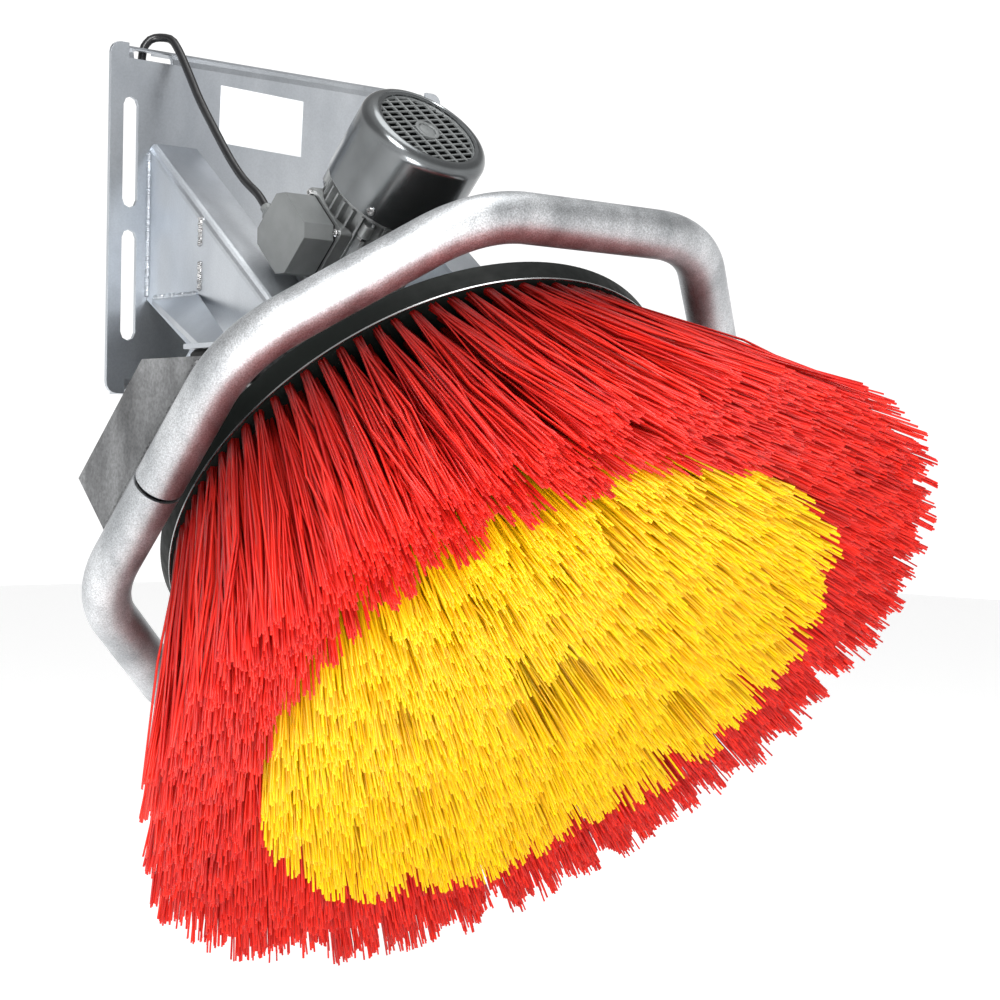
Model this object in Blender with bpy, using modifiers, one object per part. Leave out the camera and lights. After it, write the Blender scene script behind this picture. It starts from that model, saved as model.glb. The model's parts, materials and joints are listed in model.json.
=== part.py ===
"""Rotating cow brush on a wall bracket.

The bracket hangs on the wall plane Y = 0 and reaches towards -Y, with X along the wall and Z up.
The brush head is drawn upright, with its brush axis along Z, and one empty tilts it into place.
"""

import math

import bmesh
import bpy
from mathutils import Matrix, Vector

# Clearances
SEAT_GAP = 0.0003
OVERRUN = 0.002
WELD_DISTANCE = 0.000001
CUT_WELD_DISTANCE = 0.00002
RUNNING_GAP = 0.0015

# Wall plate: a pressed pan with folded top and bottom flanges
PLATE_WIDTH = 0.450
PLATE_HEIGHT = 0.372
PLATE_DEPTH = 0.030
PLATE_SHEET = 0.004
PLATE_CORNER = 0.012
PLATE_FOLD_RADIUS = 0.014
FLANGE_INSET = 0.022
SLOT_WIDTH = 0.018
SLOT_LENGTH = 0.118
SLOT_BRIDGE = 0.023
SLOT_EDGE_DISTANCE = 0.025
WINDOW_WIDTH = 0.048
WINDOW_HEIGHT = 0.010
WINDOW_FROM_FLANGE_END = 0.006
WINDOW_BELOW_TOP = 0.006
LEAD_NOTCH_WIDTH = 0.026
LEAD_NOTCH_DEPTH = 0.0125
LEAD_NOTCH_CENTRE = 0.171

# Bracket arms: folded sheet, web outside and flange on top
ARM_OUTER_SPAN = 0.354
ARM_SHEET = 0.005
ARM_FOLD_RADIUS = 0.0065
ARM_FLANGE = 0.060
ARM_TOP = 0.083
ARM_ROOT_BOTTOM = -0.085
ARM_PITCH = math.radians(38.7)
ARM_KNEE_REACH = 0.116
ARM_TOE_HEIGHT = -0.139
ARM_END_STATION = 0.110

# Brush head placement
HEAD_TILT = math.radians(45.0)
HEAD_REACH = 0.280
HEAD_DROP = 0.263

# Outriggers that carry the guard ring on rubber buffers
OUTRIGGER_SHEET = 0.005
OUTRIGGER_FOLD_RADIUS = 0.008
OUTRIGGER_TOP = -0.087
OUTRIGGER_ROOT_BACK = -0.041
OUTRIGGER_ROOT_FRONT = -0.130
FOOT_WIDTH = 0.018
FOOT_FROM_CHEEK = 0.048
FOOT_BACK = -0.254
FOOT_FRONT = -0.307
BUFFER_HEIGHT = 0.0247
BUFFER_WIDTH = 0.028
BUFFER_LENGTH = 0.038
BUFFER_CHAMFER = 0.005
BUFFER_BOLT_RADIUS = 0.004
BUFFER_BOLT_ACROSS = 0.013
BUFFER_BOLT_FROM_EDGE = 0.0095
BUFFER_BOLT_COVER = 0.002

# Ring beam between the cheeks
BEAM_TOP = -0.175
BEAM_SHEET = 0.008
BEAM_DEPTH = 0.065
BEAM_FRONT = -0.310
BEAM_LEG = 0.035
BEAM_LEG_CLEARANCE = 0.0035
BEAM_FOLD_RADIUS = 0.006

# Cheek plates welded to the ring
CHEEK_SHEET = 0.008
CHEEK_OFFSET_FROM_TUBE = 0.012
CHEEK_BACK_STATION = 0.078
CHEEK_LOW_END = 0.096
CHEEK_TOP_CORNER = -0.064
CHEEK_RING_OVERLAP = 0.006

# Guard ring: bent tube, an octagon with large bends, in two halves
RING_TUBE_RADIUS = 0.02415
RING_BORE_RADIUS = 0.0211
RING_BORE_DEPTH = 0.050
RING_SIDE_CLEARANCE = 0.00885
RING_END_CLEARANCE = 0.03585
RING_CORNER_RUN = 0.178
RING_CORNER_DROP = 0.181
RING_BEND_RADIUS = 0.130
RING_BELOW_DISC_TOP = 0.014
RING_SPLIT_OFFSET = 0.009
RING_SPLIT_GAP = 0.005
RING_BEVEL_RESOLUTION = 4
RING_BEND_STEPS = 4

# Gearbox cradle: folded channel between the arms
CRADLE_SHEET = 0.006
CRADLE_FOLD_RADIUS = 0.009
CRADLE_RISE = 0.066
CRADLE_FRONT = -0.062
CRADLE_BACK = 0.055

# Worm gearbox
WORM_CENTRES = 0.050
GEARBOX_STATION = 0.195
GEARBOX_HALF_WIDTH = 0.0457
GEARBOX_HALF_LENGTH = 0.060
WHEEL_CASE_RADIUS = 0.054
WHEEL_CHAMBER_RADIUS = 0.0445
GEARBOX_FLANGE = 0.104
GEARBOX_FLANGE_THICKNESS = 0.010
GEARBOX_FLANGE_CORNER = 0.016
GEARBOX_BOSS_RADIUS = 0.0345
GEARBOX_BOSS_LENGTH = 0.010
WORM_TUNNEL_RADIUS = 0.028
WORM_CLEARANCE_RADIUS = 0.0135
MOTOR_PAD_RADIUS = 0.0445
MOTOR_PAD_THICKNESS = 0.010
COVER_THICKNESS = 0.009
COVER_SKIRT = 0.012
RIB_COUNT = 6
RIB_FIRST_ANGLE = math.radians(-60.0)
RIB_STEP_ANGLE = math.radians(24.0)
RIB_THICKNESS = 0.005
RIB_HEIGHT = 0.056
CRADLE_BOLT_COUNT = 4
CRADLE_BOLT_FIRST_ANGLE = math.radians(45.0)
CRADLE_BOLT_CIRCLE = 0.0425
CRADLE_BOLT_RADIUS = 0.004
CRADLE_BOLT_ACROSS = 0.013
CRADLE_BOLT_GRIP = 0.012
BOLT_HEAD_SHARE = 0.65

# Worm gear pair
MODULE = 0.002
WHEEL_TEETH = 40
WHEEL_FACE = 0.018
WHEEL_HUB_RADIUS = 0.023
WHEEL_HUB_LENGTH = 0.036
TOOTH_BACKLASH = 0.0006
ADDENDUM_SHARE = 0.95
DEDENDUM_SHARE = 1.2
TOOTH_FLANK = math.radians(20.0)
WORM_PITCH_RADIUS = 0.010
WORM_THREAD_HALF_LENGTH = 0.022
WORM_STEPS_ROUND = 14
WORM_STEPS_PER_PITCH = 6
WORM_COLLAR_RADIUS = 0.012
WORM_FAR_STATION = 0.050
WORM_BEARING_STATION = 0.032
WORM_INPUT_STATION = 0.058
WORM_BORE_DEPTH = 0.030
CAP_LIP = 0.004

# Bearings and seal
OUTPUT_SHAFT_RADIUS = 0.015
OUTPUT_BEARING_RADIUS = 0.031
OUTPUT_BEARING_WIDTH = 0.016
WORM_BEARING_RADIUS = 0.020
WORM_BEARING_WIDTH = 0.012
MOTOR_BEARING_RADIUS = 0.0175
MOTOR_BEARING_WIDTH = 0.011
MOTOR_JOURNAL_RADIUS = 0.0075
SEAL_RADIUS = 0.026
SEAL_WIDTH = 0.007
SEAL_LIP_SHARE = 0.33
KEY_WIDTH = 0.008
KEY_HEIGHT = 0.007
KEY_LENGTH = 0.028

# Motor: flange, finned housing, end shield, fan and cover, along the motor axis
MOTOR_SPIGOT_THICKNESS = 0.011
MOTOR_SHIELD_RADIUS = 0.060
MOTOR_HOUSING_START = 0.096
MOTOR_HOUSING_LENGTH = 0.100
FIN_TIP_RADIUS = 0.062
FIN_ROOT_RADIUS = 0.0545
FIN_COUNT = 30
FIN_THICKNESS_SHARE = 0.34
FIN_TIP_SHARE = 0.6
HOUSING_BORE_RADIUS = 0.050
STATOR_BORE_RADIUS = 0.031
STATOR_LENGTH = 0.064
WINDING_OVERHANG = 0.010
ROTOR_LENGTH = 0.066
ROTOR_SHAFT_RADIUS = 0.010
MOTOR_SHAFT_END_RADIUS = 0.007
END_SHIELD_THICKNESS = 0.012
FAN_RADIUS = 0.056
FAN_BLADES = 7
FAN_BLADE_THICKNESS = 0.003
FAN_BLADE_DEPTH = 0.024
FAN_PLATE_THICKNESS = 0.003
FAN_HUB_RADIUS = 0.014
FAN_HUB_ARC_SHARES = (0.35, 0.65)
FAN_HUB_ARC_STEPS = 2
FAN_PLATE_OVERLAP = 0.001
FAN_SETBACK = 0.028
COVER_RADIUS = 0.069
COVER_SHEET = 0.0015
COVER_SETBACK = 0.008
COVER_LENGTH = 0.086
COVER_SHOULDER = 0.014
COVER_SHOULDER_ANGLE = math.radians(75.0)
SHOULDER_STEPS = 3
COVER_MOUTH_RADIUS = 0.0525
COVER_RIM_RADIUS = 0.0565
GRILLE_RADIUS = 0.0545
GRILLE_THICKNESS = 0.0025
GRILLE_PITCH_WIDE = 0.0135
GRILLE_PITCH_NARROW = 0.0095
GRILLE_HOLE_WIDE = 0.0105
GRILLE_HOLE_NARROW = 0.0068
GRILLE_HUB_RADIUS = 0.013
GRILLE_EDGE = 0.004

# Terminal box on the motor's left side
BOX_STATION = 0.139
LID_SIDE = 0.068
LID_CORNER_CUT = 0.011
LID_DEPTH = 0.036
LID_WALL = 0.003
LID_FACE = 0.153
BASE_SIDE = 0.074
BASE_CORNER = 0.006
GASKET_OPENING = 0.048
GASKET_THICKNESS = 0.0015
BASE_INNER = 0.094
TERMINAL_BLOCK_LENGTH = 0.040
TERMINAL_BLOCK_WIDTH = 0.020
TERMINAL_BLOCK_HEIGHT = 0.012
GLAND_STATION = 0.124
GLAND_FROM_LID_FACE = 0.019
GLAND_ACROSS = 0.019
GLAND_BODY_LENGTH = 0.008
GLAND_DOME_LENGTH = 0.012
GLAND_TAIL_LENGTH = 0.006
GLAND_TAIL_RADIUS = 0.0062

# Brush disc, hub and bristles
DISC_RADIUS = 0.285
DISC_THICKNESS = 0.022
DISC_LIP_WIDTH = 0.004
DISC_LIP_HEIGHT = 0.003
DISC_EDGE_CHAMFER = 0.002
HUB_FLANGE_RADIUS = 0.050
HUB_FLANGE_THICKNESS = 0.010
HUB_BOSS_RADIUS = 0.023
HUB_BOSS_LENGTH = 0.134
HUB_BOLT_CIRCLE = 0.034
HUB_BOLT_RADIUS = 0.004
HUB_BOLT_ACROSS = 0.013
HUB_BOLT_COUNT = 4
HUB_NUT_HEIGHT = 0.0065
SHAFT_END_WASHER_RADIUS = 0.024
SHAFT_END_WASHER_THICKNESS = 0.004
SHAFT_END_BOLT_ACROSS = 0.019
SHAFT_TOP_MARGIN = 0.003
OUTER_ROOT_MARGIN = 0.006
OUTER_TIP_RADIUS = 0.432
OUTER_TIP_DEPTH = 0.318
TIP_ROUNDING = 0.010
COLOUR_ROOT_RADIUS = 0.192
COLOUR_TIP_RADIUS = 0.322
INNER_TIP_DEPTH = 0.326
HOLLOW_ROOT_RADIUS = 0.045
HOLLOW_TIP_RADIUS = 0.030
COLOUR_GAP = 0.003

# Mains lead
LEAD_RADIUS = 0.00425
LEAD_BEVEL_RESOLUTION = 2
LEAD_POINT_SPACING = 0.018
LEAD_START_RUN = 0.014
COIL_RADIUS = 0.050
COIL_SECTION = 0.0175
COIL_CENTRE_X = -0.060
COIL_CENTRE_Y = -0.0092
COIL_LIFT = 0.0009
COIL_ENTRY = 0.0385
TAIL_ENTRY = 0.0335
TIE_BAND = 0.0012
TIE_WIDTH = 0.0045
TAIL_JACKET_LENGTH = 0.022
TAIL_CORE_LENGTH = 0.034
TAIL_CORE_RADIUS = 0.0030

# Fineness of round work
FINE_STEPS = 40
ROUND_STEPS = 24
SMALL_STEPS = 12
BEARING_STEPS = 24
ARC_STEPS = 4
HEXAGON_SIDES = 6
SHARP_ANGLE = math.radians(35.0)
QUARTER_TURN = math.pi / 2

# Worked out from the driving sizes
ARM_SIDE = ARM_OUTER_SPAN / 2
PLATE_TOP = PLATE_HEIGHT / 2
CRADLE_WEB_TOP = GEARBOX_STATION - GEARBOX_HALF_WIDTH - SEAT_GAP
CRADLE_WEB_BOTTOM = CRADLE_WEB_TOP - CRADLE_SHEET
WORM_PITCH = math.pi * MODULE
WHEEL_PITCH_RADIUS = MODULE * WHEEL_TEETH / 2
OUTER_ROOT_RADIUS = DISC_RADIUS - OUTER_ROOT_MARGIN
RING_HALF_WIDTH = DISC_RADIUS + RING_SIDE_CLEARANCE + RING_TUBE_RADIUS
RING_HALF_HEIGHT = DISC_RADIUS + RING_END_CLEARANCE + RING_TUBE_RADIUS
RING_SIDE_HALF = RING_HALF_HEIGHT - RING_CORNER_DROP
RING_END_HALF = RING_HALF_WIDTH - RING_CORNER_RUN
CHEEK_OUTER = RING_HALF_WIDTH + CHEEK_OFFSET_FROM_TUBE
CHEEK_INNER = CHEEK_OUTER - CHEEK_SHEET
FOOT_OUTER = CHEEK_INNER - FOOT_FROM_CHEEK
FOOT_INNER = FOOT_OUTER - FOOT_WIDTH
MOTOR_HOUSING_END = MOTOR_HOUSING_START + MOTOR_HOUSING_LENGTH
COVER_START = MOTOR_HOUSING_END + COVER_SETBACK
COVER_END = COVER_START + COVER_LENGTH
FAN_START = MOTOR_HOUSING_END + FAN_SETBACK
FOOT_TOP = BEAM_TOP + SEAT_GAP + BUFFER_HEIGHT + SEAT_GAP + OUTRIGGER_SHEET
COIL_CENTRE_Z = -PLATE_TOP + PLATE_SHEET + COIL_RADIUS + COIL_SECTION / 2 + COIL_LIFT

FRONT_ON = Matrix.Rotation(QUARTER_TURN, 4, "X")
SIDE_ON = Matrix(((0, 0, 1, 0), (1, 0, 0, 0), (0, 1, 0, 0), (0, 0, 0, 1)))
FLAT = Matrix.Identity(4)
HALF_FACET_TURN = Matrix.Rotation(math.pi / ROUND_STEPS, 4, "Z")

# Colours, roughness and metallic value of each material
FINISHES = {
    "galvanised_sheet": ((0.62, 0.65, 0.68), 0.38, 1.0),
    "galvanised_tube": ((0.66, 0.69, 0.71), 0.32, 1.0),
    "dull_zinc": ((0.42, 0.43, 0.44), 0.50, 1.0),
    "cast_aluminium": ((0.55, 0.56, 0.57), 0.45, 1.0),
    "steel_cover": ((0.34, 0.36, 0.37), 0.25, 1.0),
    "bright_steel": ((0.70, 0.70, 0.70), 0.28, 1.0),
    "bearing_steel": ((0.55, 0.56, 0.58), 0.22, 1.0),
    "bronze": ((0.62, 0.42, 0.20), 0.35, 1.0),
    "copper_winding": ((0.55, 0.26, 0.12), 0.45, 1.0),
    "black_rubber": ((0.03, 0.03, 0.03), 0.75, 0.0),
    "black_plastic": ((0.025, 0.027, 0.026), 0.45, 0.0),
    "grey_plastic": ((0.36, 0.37, 0.36), 0.50, 0.0),
    "lead_jacket": ((0.02, 0.02, 0.022), 0.40, 0.0),
    "red_bristle": ((0.75, 0.03, 0.03), 0.40, 0.0),
    "yellow_bristle": ((0.95, 0.68, 0.02), 0.40, 0.0),
}


# Scene and collections
for old in list(bpy.data.objects):
    bpy.data.objects.remove(old)

parts = bpy.data.collections.new("rotating_cow_brush")
cutters = bpy.data.collections.new("cutters")
for collection in (parts, cutters):
    bpy.context.scene.collection.children.link(collection)


def material(name):
    """The Principled material of one piece, made from its finish."""
    colour, roughness, metallic = FINISHES[name]
    made = bpy.data.materials.new(name)
    made.use_nodes = True
    shader = made.node_tree.nodes["Principled BSDF"]
    shader.inputs["Base Color"].default_value = (*colour, 1.0)
    shader.inputs["Roughness"].default_value = roughness
    shader.inputs["Metallic"].default_value = metallic
    made.diffuse_color = (*colour, 1.0)
    return made


def finish_piece(obj, finish, parent=None, matrix=FLAT):
    """Puts a finished piece in the parts collection, with its material and its place."""
    parts.objects.link(obj)
    obj.data.materials.clear()
    obj.data.materials.append(material(finish))
    obj.data.materials[0].name = obj.name + "_" + finish
    obj.parent = parent
    obj.matrix_basis = matrix
    return obj


def make_cutter(obj, parent=None, matrix=FLAT):
    """Puts a cutting or joining body in the cutters collection, hidden from renders."""
    cutters.objects.link(obj)
    obj.hide_render = True
    obj.display_type = "WIRE"
    obj.parent = parent
    obj.matrix_basis = matrix
    return obj


def boolean(obj, other, operation="DIFFERENCE"):
    """Cuts, joins or trims a piece with another body by the exact solver."""
    modifier = obj.modifiers.new(operation.lower() + "_" + other.name, "BOOLEAN")
    modifier.operation = operation
    modifier.solver = "EXACT"
    modifier.object = other
    return modifier


def chamfer(obj, width, segments=1):
    """Breaks the sharp edges of a piece."""
    modifier = obj.modifiers.new("edge", "BEVEL")
    modifier.width = width
    modifier.segments = segments
    modifier.limit_method = "ANGLE"
    modifier.angle_limit = SHARP_ANGLE
    return modifier


def weld_cut_pieces():
    """Closes the hairline edges that a row of cuts can leave along a seam."""
    for obj in parts.objects:
        if any(modifier.type == "BOOLEAN" for modifier in obj.modifiers):
            obj.modifiers.new("weld", "WELD").merge_threshold = CUT_WELD_DISTANCE


# Outlines in a plane
def rectangle(low, high):
    return [(low[0], low[1]), (high[0], low[1]), (high[0], high[1]), (low[0], high[1])]


def arc(centre, radius, start, end, steps=ARC_STEPS):
    """Points along an arc, ends included."""
    points = []
    for i in range(steps + 1):
        angle = start + (end - start) * i / steps
        points.append((centre[0] + radius * math.cos(angle), centre[1] + radius * math.sin(angle)))
    return points


def circle(radius, steps=ROUND_STEPS, centre=(0, 0)):
    return arc(centre, radius, 0, math.tau * (steps - 1) / steps, steps - 1)


def rounded_rectangle(low, high, radius, steps=ARC_STEPS):
    """A rectangle with quarter-round corners, anticlockwise."""
    x0, y0, x1, y1 = low[0] + radius, low[1] + radius, high[0] - radius, high[1] - radius
    quarter = math.pi / 2
    points = []
    for turn, corner in enumerate([(x1, y1), (x0, y1), (x0, y0), (x1, y0)]):
        points += arc(corner, radius, turn * quarter, (turn + 1) * quarter, steps)
    return points


def slot_outline(centre, width, length):
    """An upright slot with round ends."""
    radius = width / 2
    rise = length / 2 - radius
    upper = arc((centre[0], centre[1] + rise), radius, 0, math.pi)
    lower = arc((centre[0], centre[1] - rise), radius, math.pi, math.tau)
    return upper + lower


def cut_corner_square(side, cut):
    """A square with its four corners cut off at 45 degrees."""
    half = side / 2
    inner = half - cut
    return [
        (half, -inner), (half, inner), (inner, half), (-inner, half),
        (-half, inner), (-half, -inner), (-inner, -half), (inner, -half),
    ]


def filleted(points, radius, steps=ARC_STEPS):
    """An open path with each inner corner rounded to an arc, as points with their left normals."""
    corners = [Vector(p) for p in points]
    result = []

    def add(point, direction):
        result.append((point, Vector((-direction.y, direction.x))))

    first = (corners[1] - corners[0]).normalized()
    add(corners[0], first)
    for before, corner, after in zip(corners, corners[1:], corners[2:]):
        way_in = (corner - before).normalized()
        way_out = (after - corner).normalized()
        turn = way_in.angle_signed(way_out)
        setback = radius * math.tan(abs(turn) / 2)
        start = corner - way_in * setback
        side = Vector((-way_in.y, way_in.x)) * (1 if turn < 0 else -1)
        centre = start + side * radius
        for i in range(steps + 1):
            swing = Matrix.Rotation(-turn * i / steps, 2)
            direction = swing @ way_in
            add(centre - swing @ side * radius, direction)
    last = (corners[-1] - corners[-2]).normalized()
    add(corners[-1], last)
    return result


def folded_strip(points, sheet, fold_radius):
    """The outline of folded sheet whose middle line follows the points."""
    line = filleted(points, fold_radius)
    left = [p + n * (sheet / 2) for p, n in line]
    right = [p - n * (sheet / 2) for p, n in line]
    return [tuple(p) for p in left + right[::-1]]


# Bodies
def new_object(name, mesh):
    mesh.name = name
    mesh.shade_smooth()
    mesh.set_sharp_from_angle(angle=SHARP_ANGLE)
    return bpy.data.objects.new(name, mesh)


def mesh_of(curve_object):
    """Turns a curve object into a welded mesh object and removes the curve."""
    bpy.context.scene.collection.objects.link(curve_object)
    bpy.context.view_layer.update()
    graph = bpy.context.evaluated_depsgraph_get()
    mesh = bpy.data.meshes.new_from_object(curve_object.evaluated_get(graph))
    work = bmesh.new()
    work.from_mesh(mesh)
    bmesh.ops.remove_doubles(work, verts=work.verts, dist=WELD_DISTANCE)
    bmesh.ops.recalc_face_normals(work, faces=work.faces)
    work.to_mesh(mesh)
    work.free()
    name = curve_object.name
    bpy.data.objects.remove(curve_object)
    return new_object(name, mesh)


def slab(name, outlines, start, end):
    """Extrudes flat outlines, the first outside and the rest holes, from start to end along local Z."""
    curve = bpy.data.curves.new(name, "CURVE")
    curve.dimensions = "2D"
    curve.fill_mode = "BOTH"
    curve.extrude = (end - start) / 2
    for outline in outlines:
        spline = curve.splines.new("POLY")
        spline.points.add(len(outline) - 1)
        for point, place in zip(spline.points, outline):
            point.co = (place[0], place[1], 0, 1)
        spline.use_cyclic_u = True
    obj = mesh_of(bpy.data.objects.new(name, curve))
    obj.data.transform(Matrix.Translation((0, 0, (start + end) / 2)))
    return obj


def rod_along(name, path, radius, resolution, cyclic=False):
    """A round bar or tube body along a path in space."""
    curve = bpy.data.curves.new(name, "CURVE")
    curve.dimensions = "3D"
    curve.bevel_depth = radius
    curve.bevel_resolution = resolution
    curve.use_fill_caps = True
    spline = curve.splines.new("POLY")
    spline.points.add(len(path) - 1)
    for point, place in zip(spline.points, path):
        point.co = (*place, 1)
    spline.use_cyclic_u = cyclic
    return mesh_of(bpy.data.objects.new(name, curve))


def turned(name, profile, steps=ROUND_STEPS):
    """Turns a profile of (radius, height), which runs down its outer side, about local Z."""
    mesh = bpy.data.meshes.new(name)
    work = bmesh.new()
    vertices = [work.verts.new((radius, 0, height)) for radius, height in profile]
    for first, second in zip(vertices, vertices[1:]):
        work.edges.new((first, second))
    if profile[0][0] > 0:
        work.edges.new((vertices[-1], vertices[0]))
    work.to_mesh(mesh)
    work.free()
    obj = bpy.data.objects.new(name, mesh)
    screw = obj.modifiers.new("turn", "SCREW")
    screw.steps = steps
    screw.render_steps = steps
    screw.use_merge_vertices = True
    screw.merge_threshold = WELD_DISTANCE
    screw.use_smooth_shade = True
    return obj


def ring_profile(outer, inner, top, bottom):
    return [(outer, top), (outer, bottom), (inner, bottom), (inner, top)]


def disc_profile(radius, top, bottom):
    return [(0, top), (radius, top), (radius, bottom), (0, bottom)]


def drum(name, radius, start, end, steps=ROUND_STEPS):
    """A plain cylinder or prism along local Z."""
    work = bmesh.new()
    bmesh.ops.create_cone(
        work, cap_ends=True, segments=steps, radius1=radius, radius2=radius, depth=end - start
    )
    mesh = bpy.data.meshes.new(name)
    work.to_mesh(mesh)
    work.free()
    mesh.transform(Matrix.Translation((0, 0, (start + end) / 2)))
    return new_object(name, mesh)


def block(name, low, high):
    """A box between two corners."""
    work = bmesh.new()
    bmesh.ops.create_cube(work, size=1.0)
    size = Vector(high) - Vector(low)
    centre = (Vector(high) + Vector(low)) / 2
    for vertex in work.verts:
        vertex.co = centre + Vector(c * s for c, s in zip(vertex.co, size))
    mesh = bpy.data.meshes.new(name)
    work.to_mesh(mesh)
    work.free()
    return new_object(name, mesh)


def hexagon(name, across, start, end):
    return drum(name, across / math.sqrt(3), start, end, HEXAGON_SIDES)


def bolt(name, finish, radius, across, grip_bottom, grip_top, nut_height, parent, matrix):
    """A hexagon bolt with its nut: the head lies below the grip and the nut on top of it."""
    head_height = across * BOLT_HEAD_SHARE / 2 + radius / 2
    piece = drum(name, radius, grip_bottom - head_height / 2, grip_top + nut_height + radius / 2, SMALL_STEPS)
    finish_piece(piece, finish, parent, matrix)
    ends = [("head", grip_bottom - head_height, grip_bottom)]
    if nut_height > 0:
        ends.append(("nut", grip_top, grip_top + nut_height))
    for label, start, end in ends:
        end_body = make_cutter(hexagon(name + "_" + label, across, start, end), parent, matrix)
        boolean(piece, end_body, "UNION")
    return piece


# Empties that carry the head and its turning pieces
def empty(name, parent, matrix):
    made = bpy.data.objects.new(name, None)
    parts.objects.link(made)
    made.parent = parent
    made.matrix_basis = matrix
    return made


head = empty(
    "head",
    None,
    Matrix.Translation((0, -HEAD_REACH, -HEAD_DROP)) @ Matrix.Rotation(-HEAD_TILT, 4, "X"),
)
motor = empty(
    "motor",
    head,
    Matrix.Translation((-WORM_CENTRES, 0, GEARBOX_STATION)) @ FRONT_ON,
)
brush = empty("brush", head, FLAT)


def head_point(y, z):
    """The wall frame's Y and Z of a place in the head's own Y and Z."""
    cosine, sine = math.cos(HEAD_TILT), math.sin(HEAD_TILT)
    return (-HEAD_REACH + y * cosine + z * sine, -HEAD_DROP - y * sine + z * cosine)


# Wall plate
def wall_plate():
    half_width, half_height = PLATE_WIDTH / 2, PLATE_HEIGHT / 2
    fold_line = half_height - PLATE_FOLD_RADIUS - PLATE_SHEET / 2
    flange_half = half_width - FLANGE_INSET
    corner = PLATE_CORNER
    quarter = math.pi / 2
    ear_side = half_width - corner
    ear_top = half_height - corner
    outline = []
    for turn, (sx, sz) in enumerate([(1, 1), (-1, 1), (-1, -1), (1, -1)]):
        ear = arc((sx * ear_side, sz * ear_top), corner, turn * quarter, (turn + 1) * quarter)
        step = [(sx * flange_half, sz * half_height), (sx * flange_half, sz * fold_line)]
        outline += ear + step if sx * sz > 0 else step[::-1] + ear
    slots = []
    slot_x = half_width - SLOT_EDGE_DISTANCE
    slot_z = (SLOT_BRIDGE + SLOT_LENGTH) / 2
    for sx in (-1, 1):
        for sz in (-1, 1):
            slots.append(slot_outline((sx * slot_x, sz * slot_z), SLOT_WIDTH, SLOT_LENGTH))
    plate = slab("wall_plate", [outline] + slots, PLATE_DEPTH - PLATE_SHEET, PLATE_DEPTH)
    finish_piece(plate, "galvanised_sheet", None, FRONT_ON)
    middle_y = -PLATE_DEPTH + PLATE_SHEET / 2
    middle_z = half_height - PLATE_SHEET / 2
    for side, label in ((1, "top"), (-1, "bottom")):
        inner_z = fold_line - PLATE_FOLD_RADIUS
        path = [(middle_y, side * inner_z), (middle_y, side * middle_z), (0, side * middle_z)]
        strip = folded_strip(path, PLATE_SHEET, PLATE_FOLD_RADIUS)
        fold = make_cutter(slab(label + "_fold", [strip], -flange_half, flange_half), None, SIDE_ON)
        boolean(plate, fold, "UNION")
    window_start = -flange_half + WINDOW_FROM_FLANGE_END
    window = block(
        "lead_window",
        (window_start, -PLATE_DEPTH - OVERRUN, half_height - WINDOW_BELOW_TOP - WINDOW_HEIGHT),
        (window_start + WINDOW_WIDTH, -PLATE_DEPTH + PLATE_FOLD_RADIUS, half_height - WINDOW_BELOW_TOP),
    )
    boolean(plate, make_cutter(window))
    notch = block(
        "lead_notch",
        (-LEAD_NOTCH_CENTRE - LEAD_NOTCH_WIDTH / 2, -LEAD_NOTCH_DEPTH, half_height - PLATE_SHEET - OVERRUN),
        (-LEAD_NOTCH_CENTRE + LEAD_NOTCH_WIDTH / 2, OVERRUN, half_height + OVERRUN),
    )
    boolean(plate, make_cutter(notch))
    return plate


# Bracket arms
def arm_outline():
    """Side view of an arm: wall edge, sloping top, end cut across the head axis, toe and knee."""
    back = -PLATE_DEPTH - SEAT_GAP
    top = Vector((back, ARM_TOP))
    slope = Vector((-math.cos(ARM_PITCH), -math.sin(ARM_PITCH)))
    axis = Vector((math.sin(HEAD_TILT), math.cos(HEAD_TILT)))
    disc_centre = Vector((-HEAD_REACH, -HEAD_DROP))
    travel = (ARM_END_STATION - (top - disc_centre).dot(axis)) / slope.dot(axis)
    nose = top + slope * travel
    toe_y = disc_centre.x + (ARM_END_STATION - (ARM_TOE_HEIGHT - disc_centre.y) * axis.y) / axis.x
    return [
        (top.x, top.y),
        (nose.x, nose.y),
        (toe_y, ARM_TOE_HEIGHT),
        (-ARM_KNEE_REACH, ARM_TOE_HEIGHT),
        (back, ARM_ROOT_BOTTOM),
    ]


def arm(name, side):
    outline = arm_outline()
    top, nose = Vector(outline[0]), Vector(outline[1])
    length = (nose - top).length
    web_depth = ARM_TOP - ARM_TOE_HEIGHT
    middle = ARM_SHEET / 2
    section = [(middle, web_depth), (middle, middle), (ARM_FLANGE, middle)]
    strip = folded_strip(section, ARM_SHEET, ARM_FOLD_RADIUS)
    strip = [(side * (u - ARM_SIDE) * -1, -w) for u, w in strip]
    piece = slab(name, [strip], -length / 2, length + length / 2)
    frame = Matrix.Translation((0, top.x, top.y)) @ Matrix.Rotation(ARM_PITCH, 4, "X") @ FRONT_ON
    finish_piece(piece, "galvanised_sheet", None, frame)
    trim = slab(name + "_trim", [outline], -ARM_SIDE - OVERRUN, ARM_SIDE + OVERRUN)
    boolean(piece, make_cutter(trim, None, SIDE_ON), "INTERSECT")
    return piece


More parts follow.
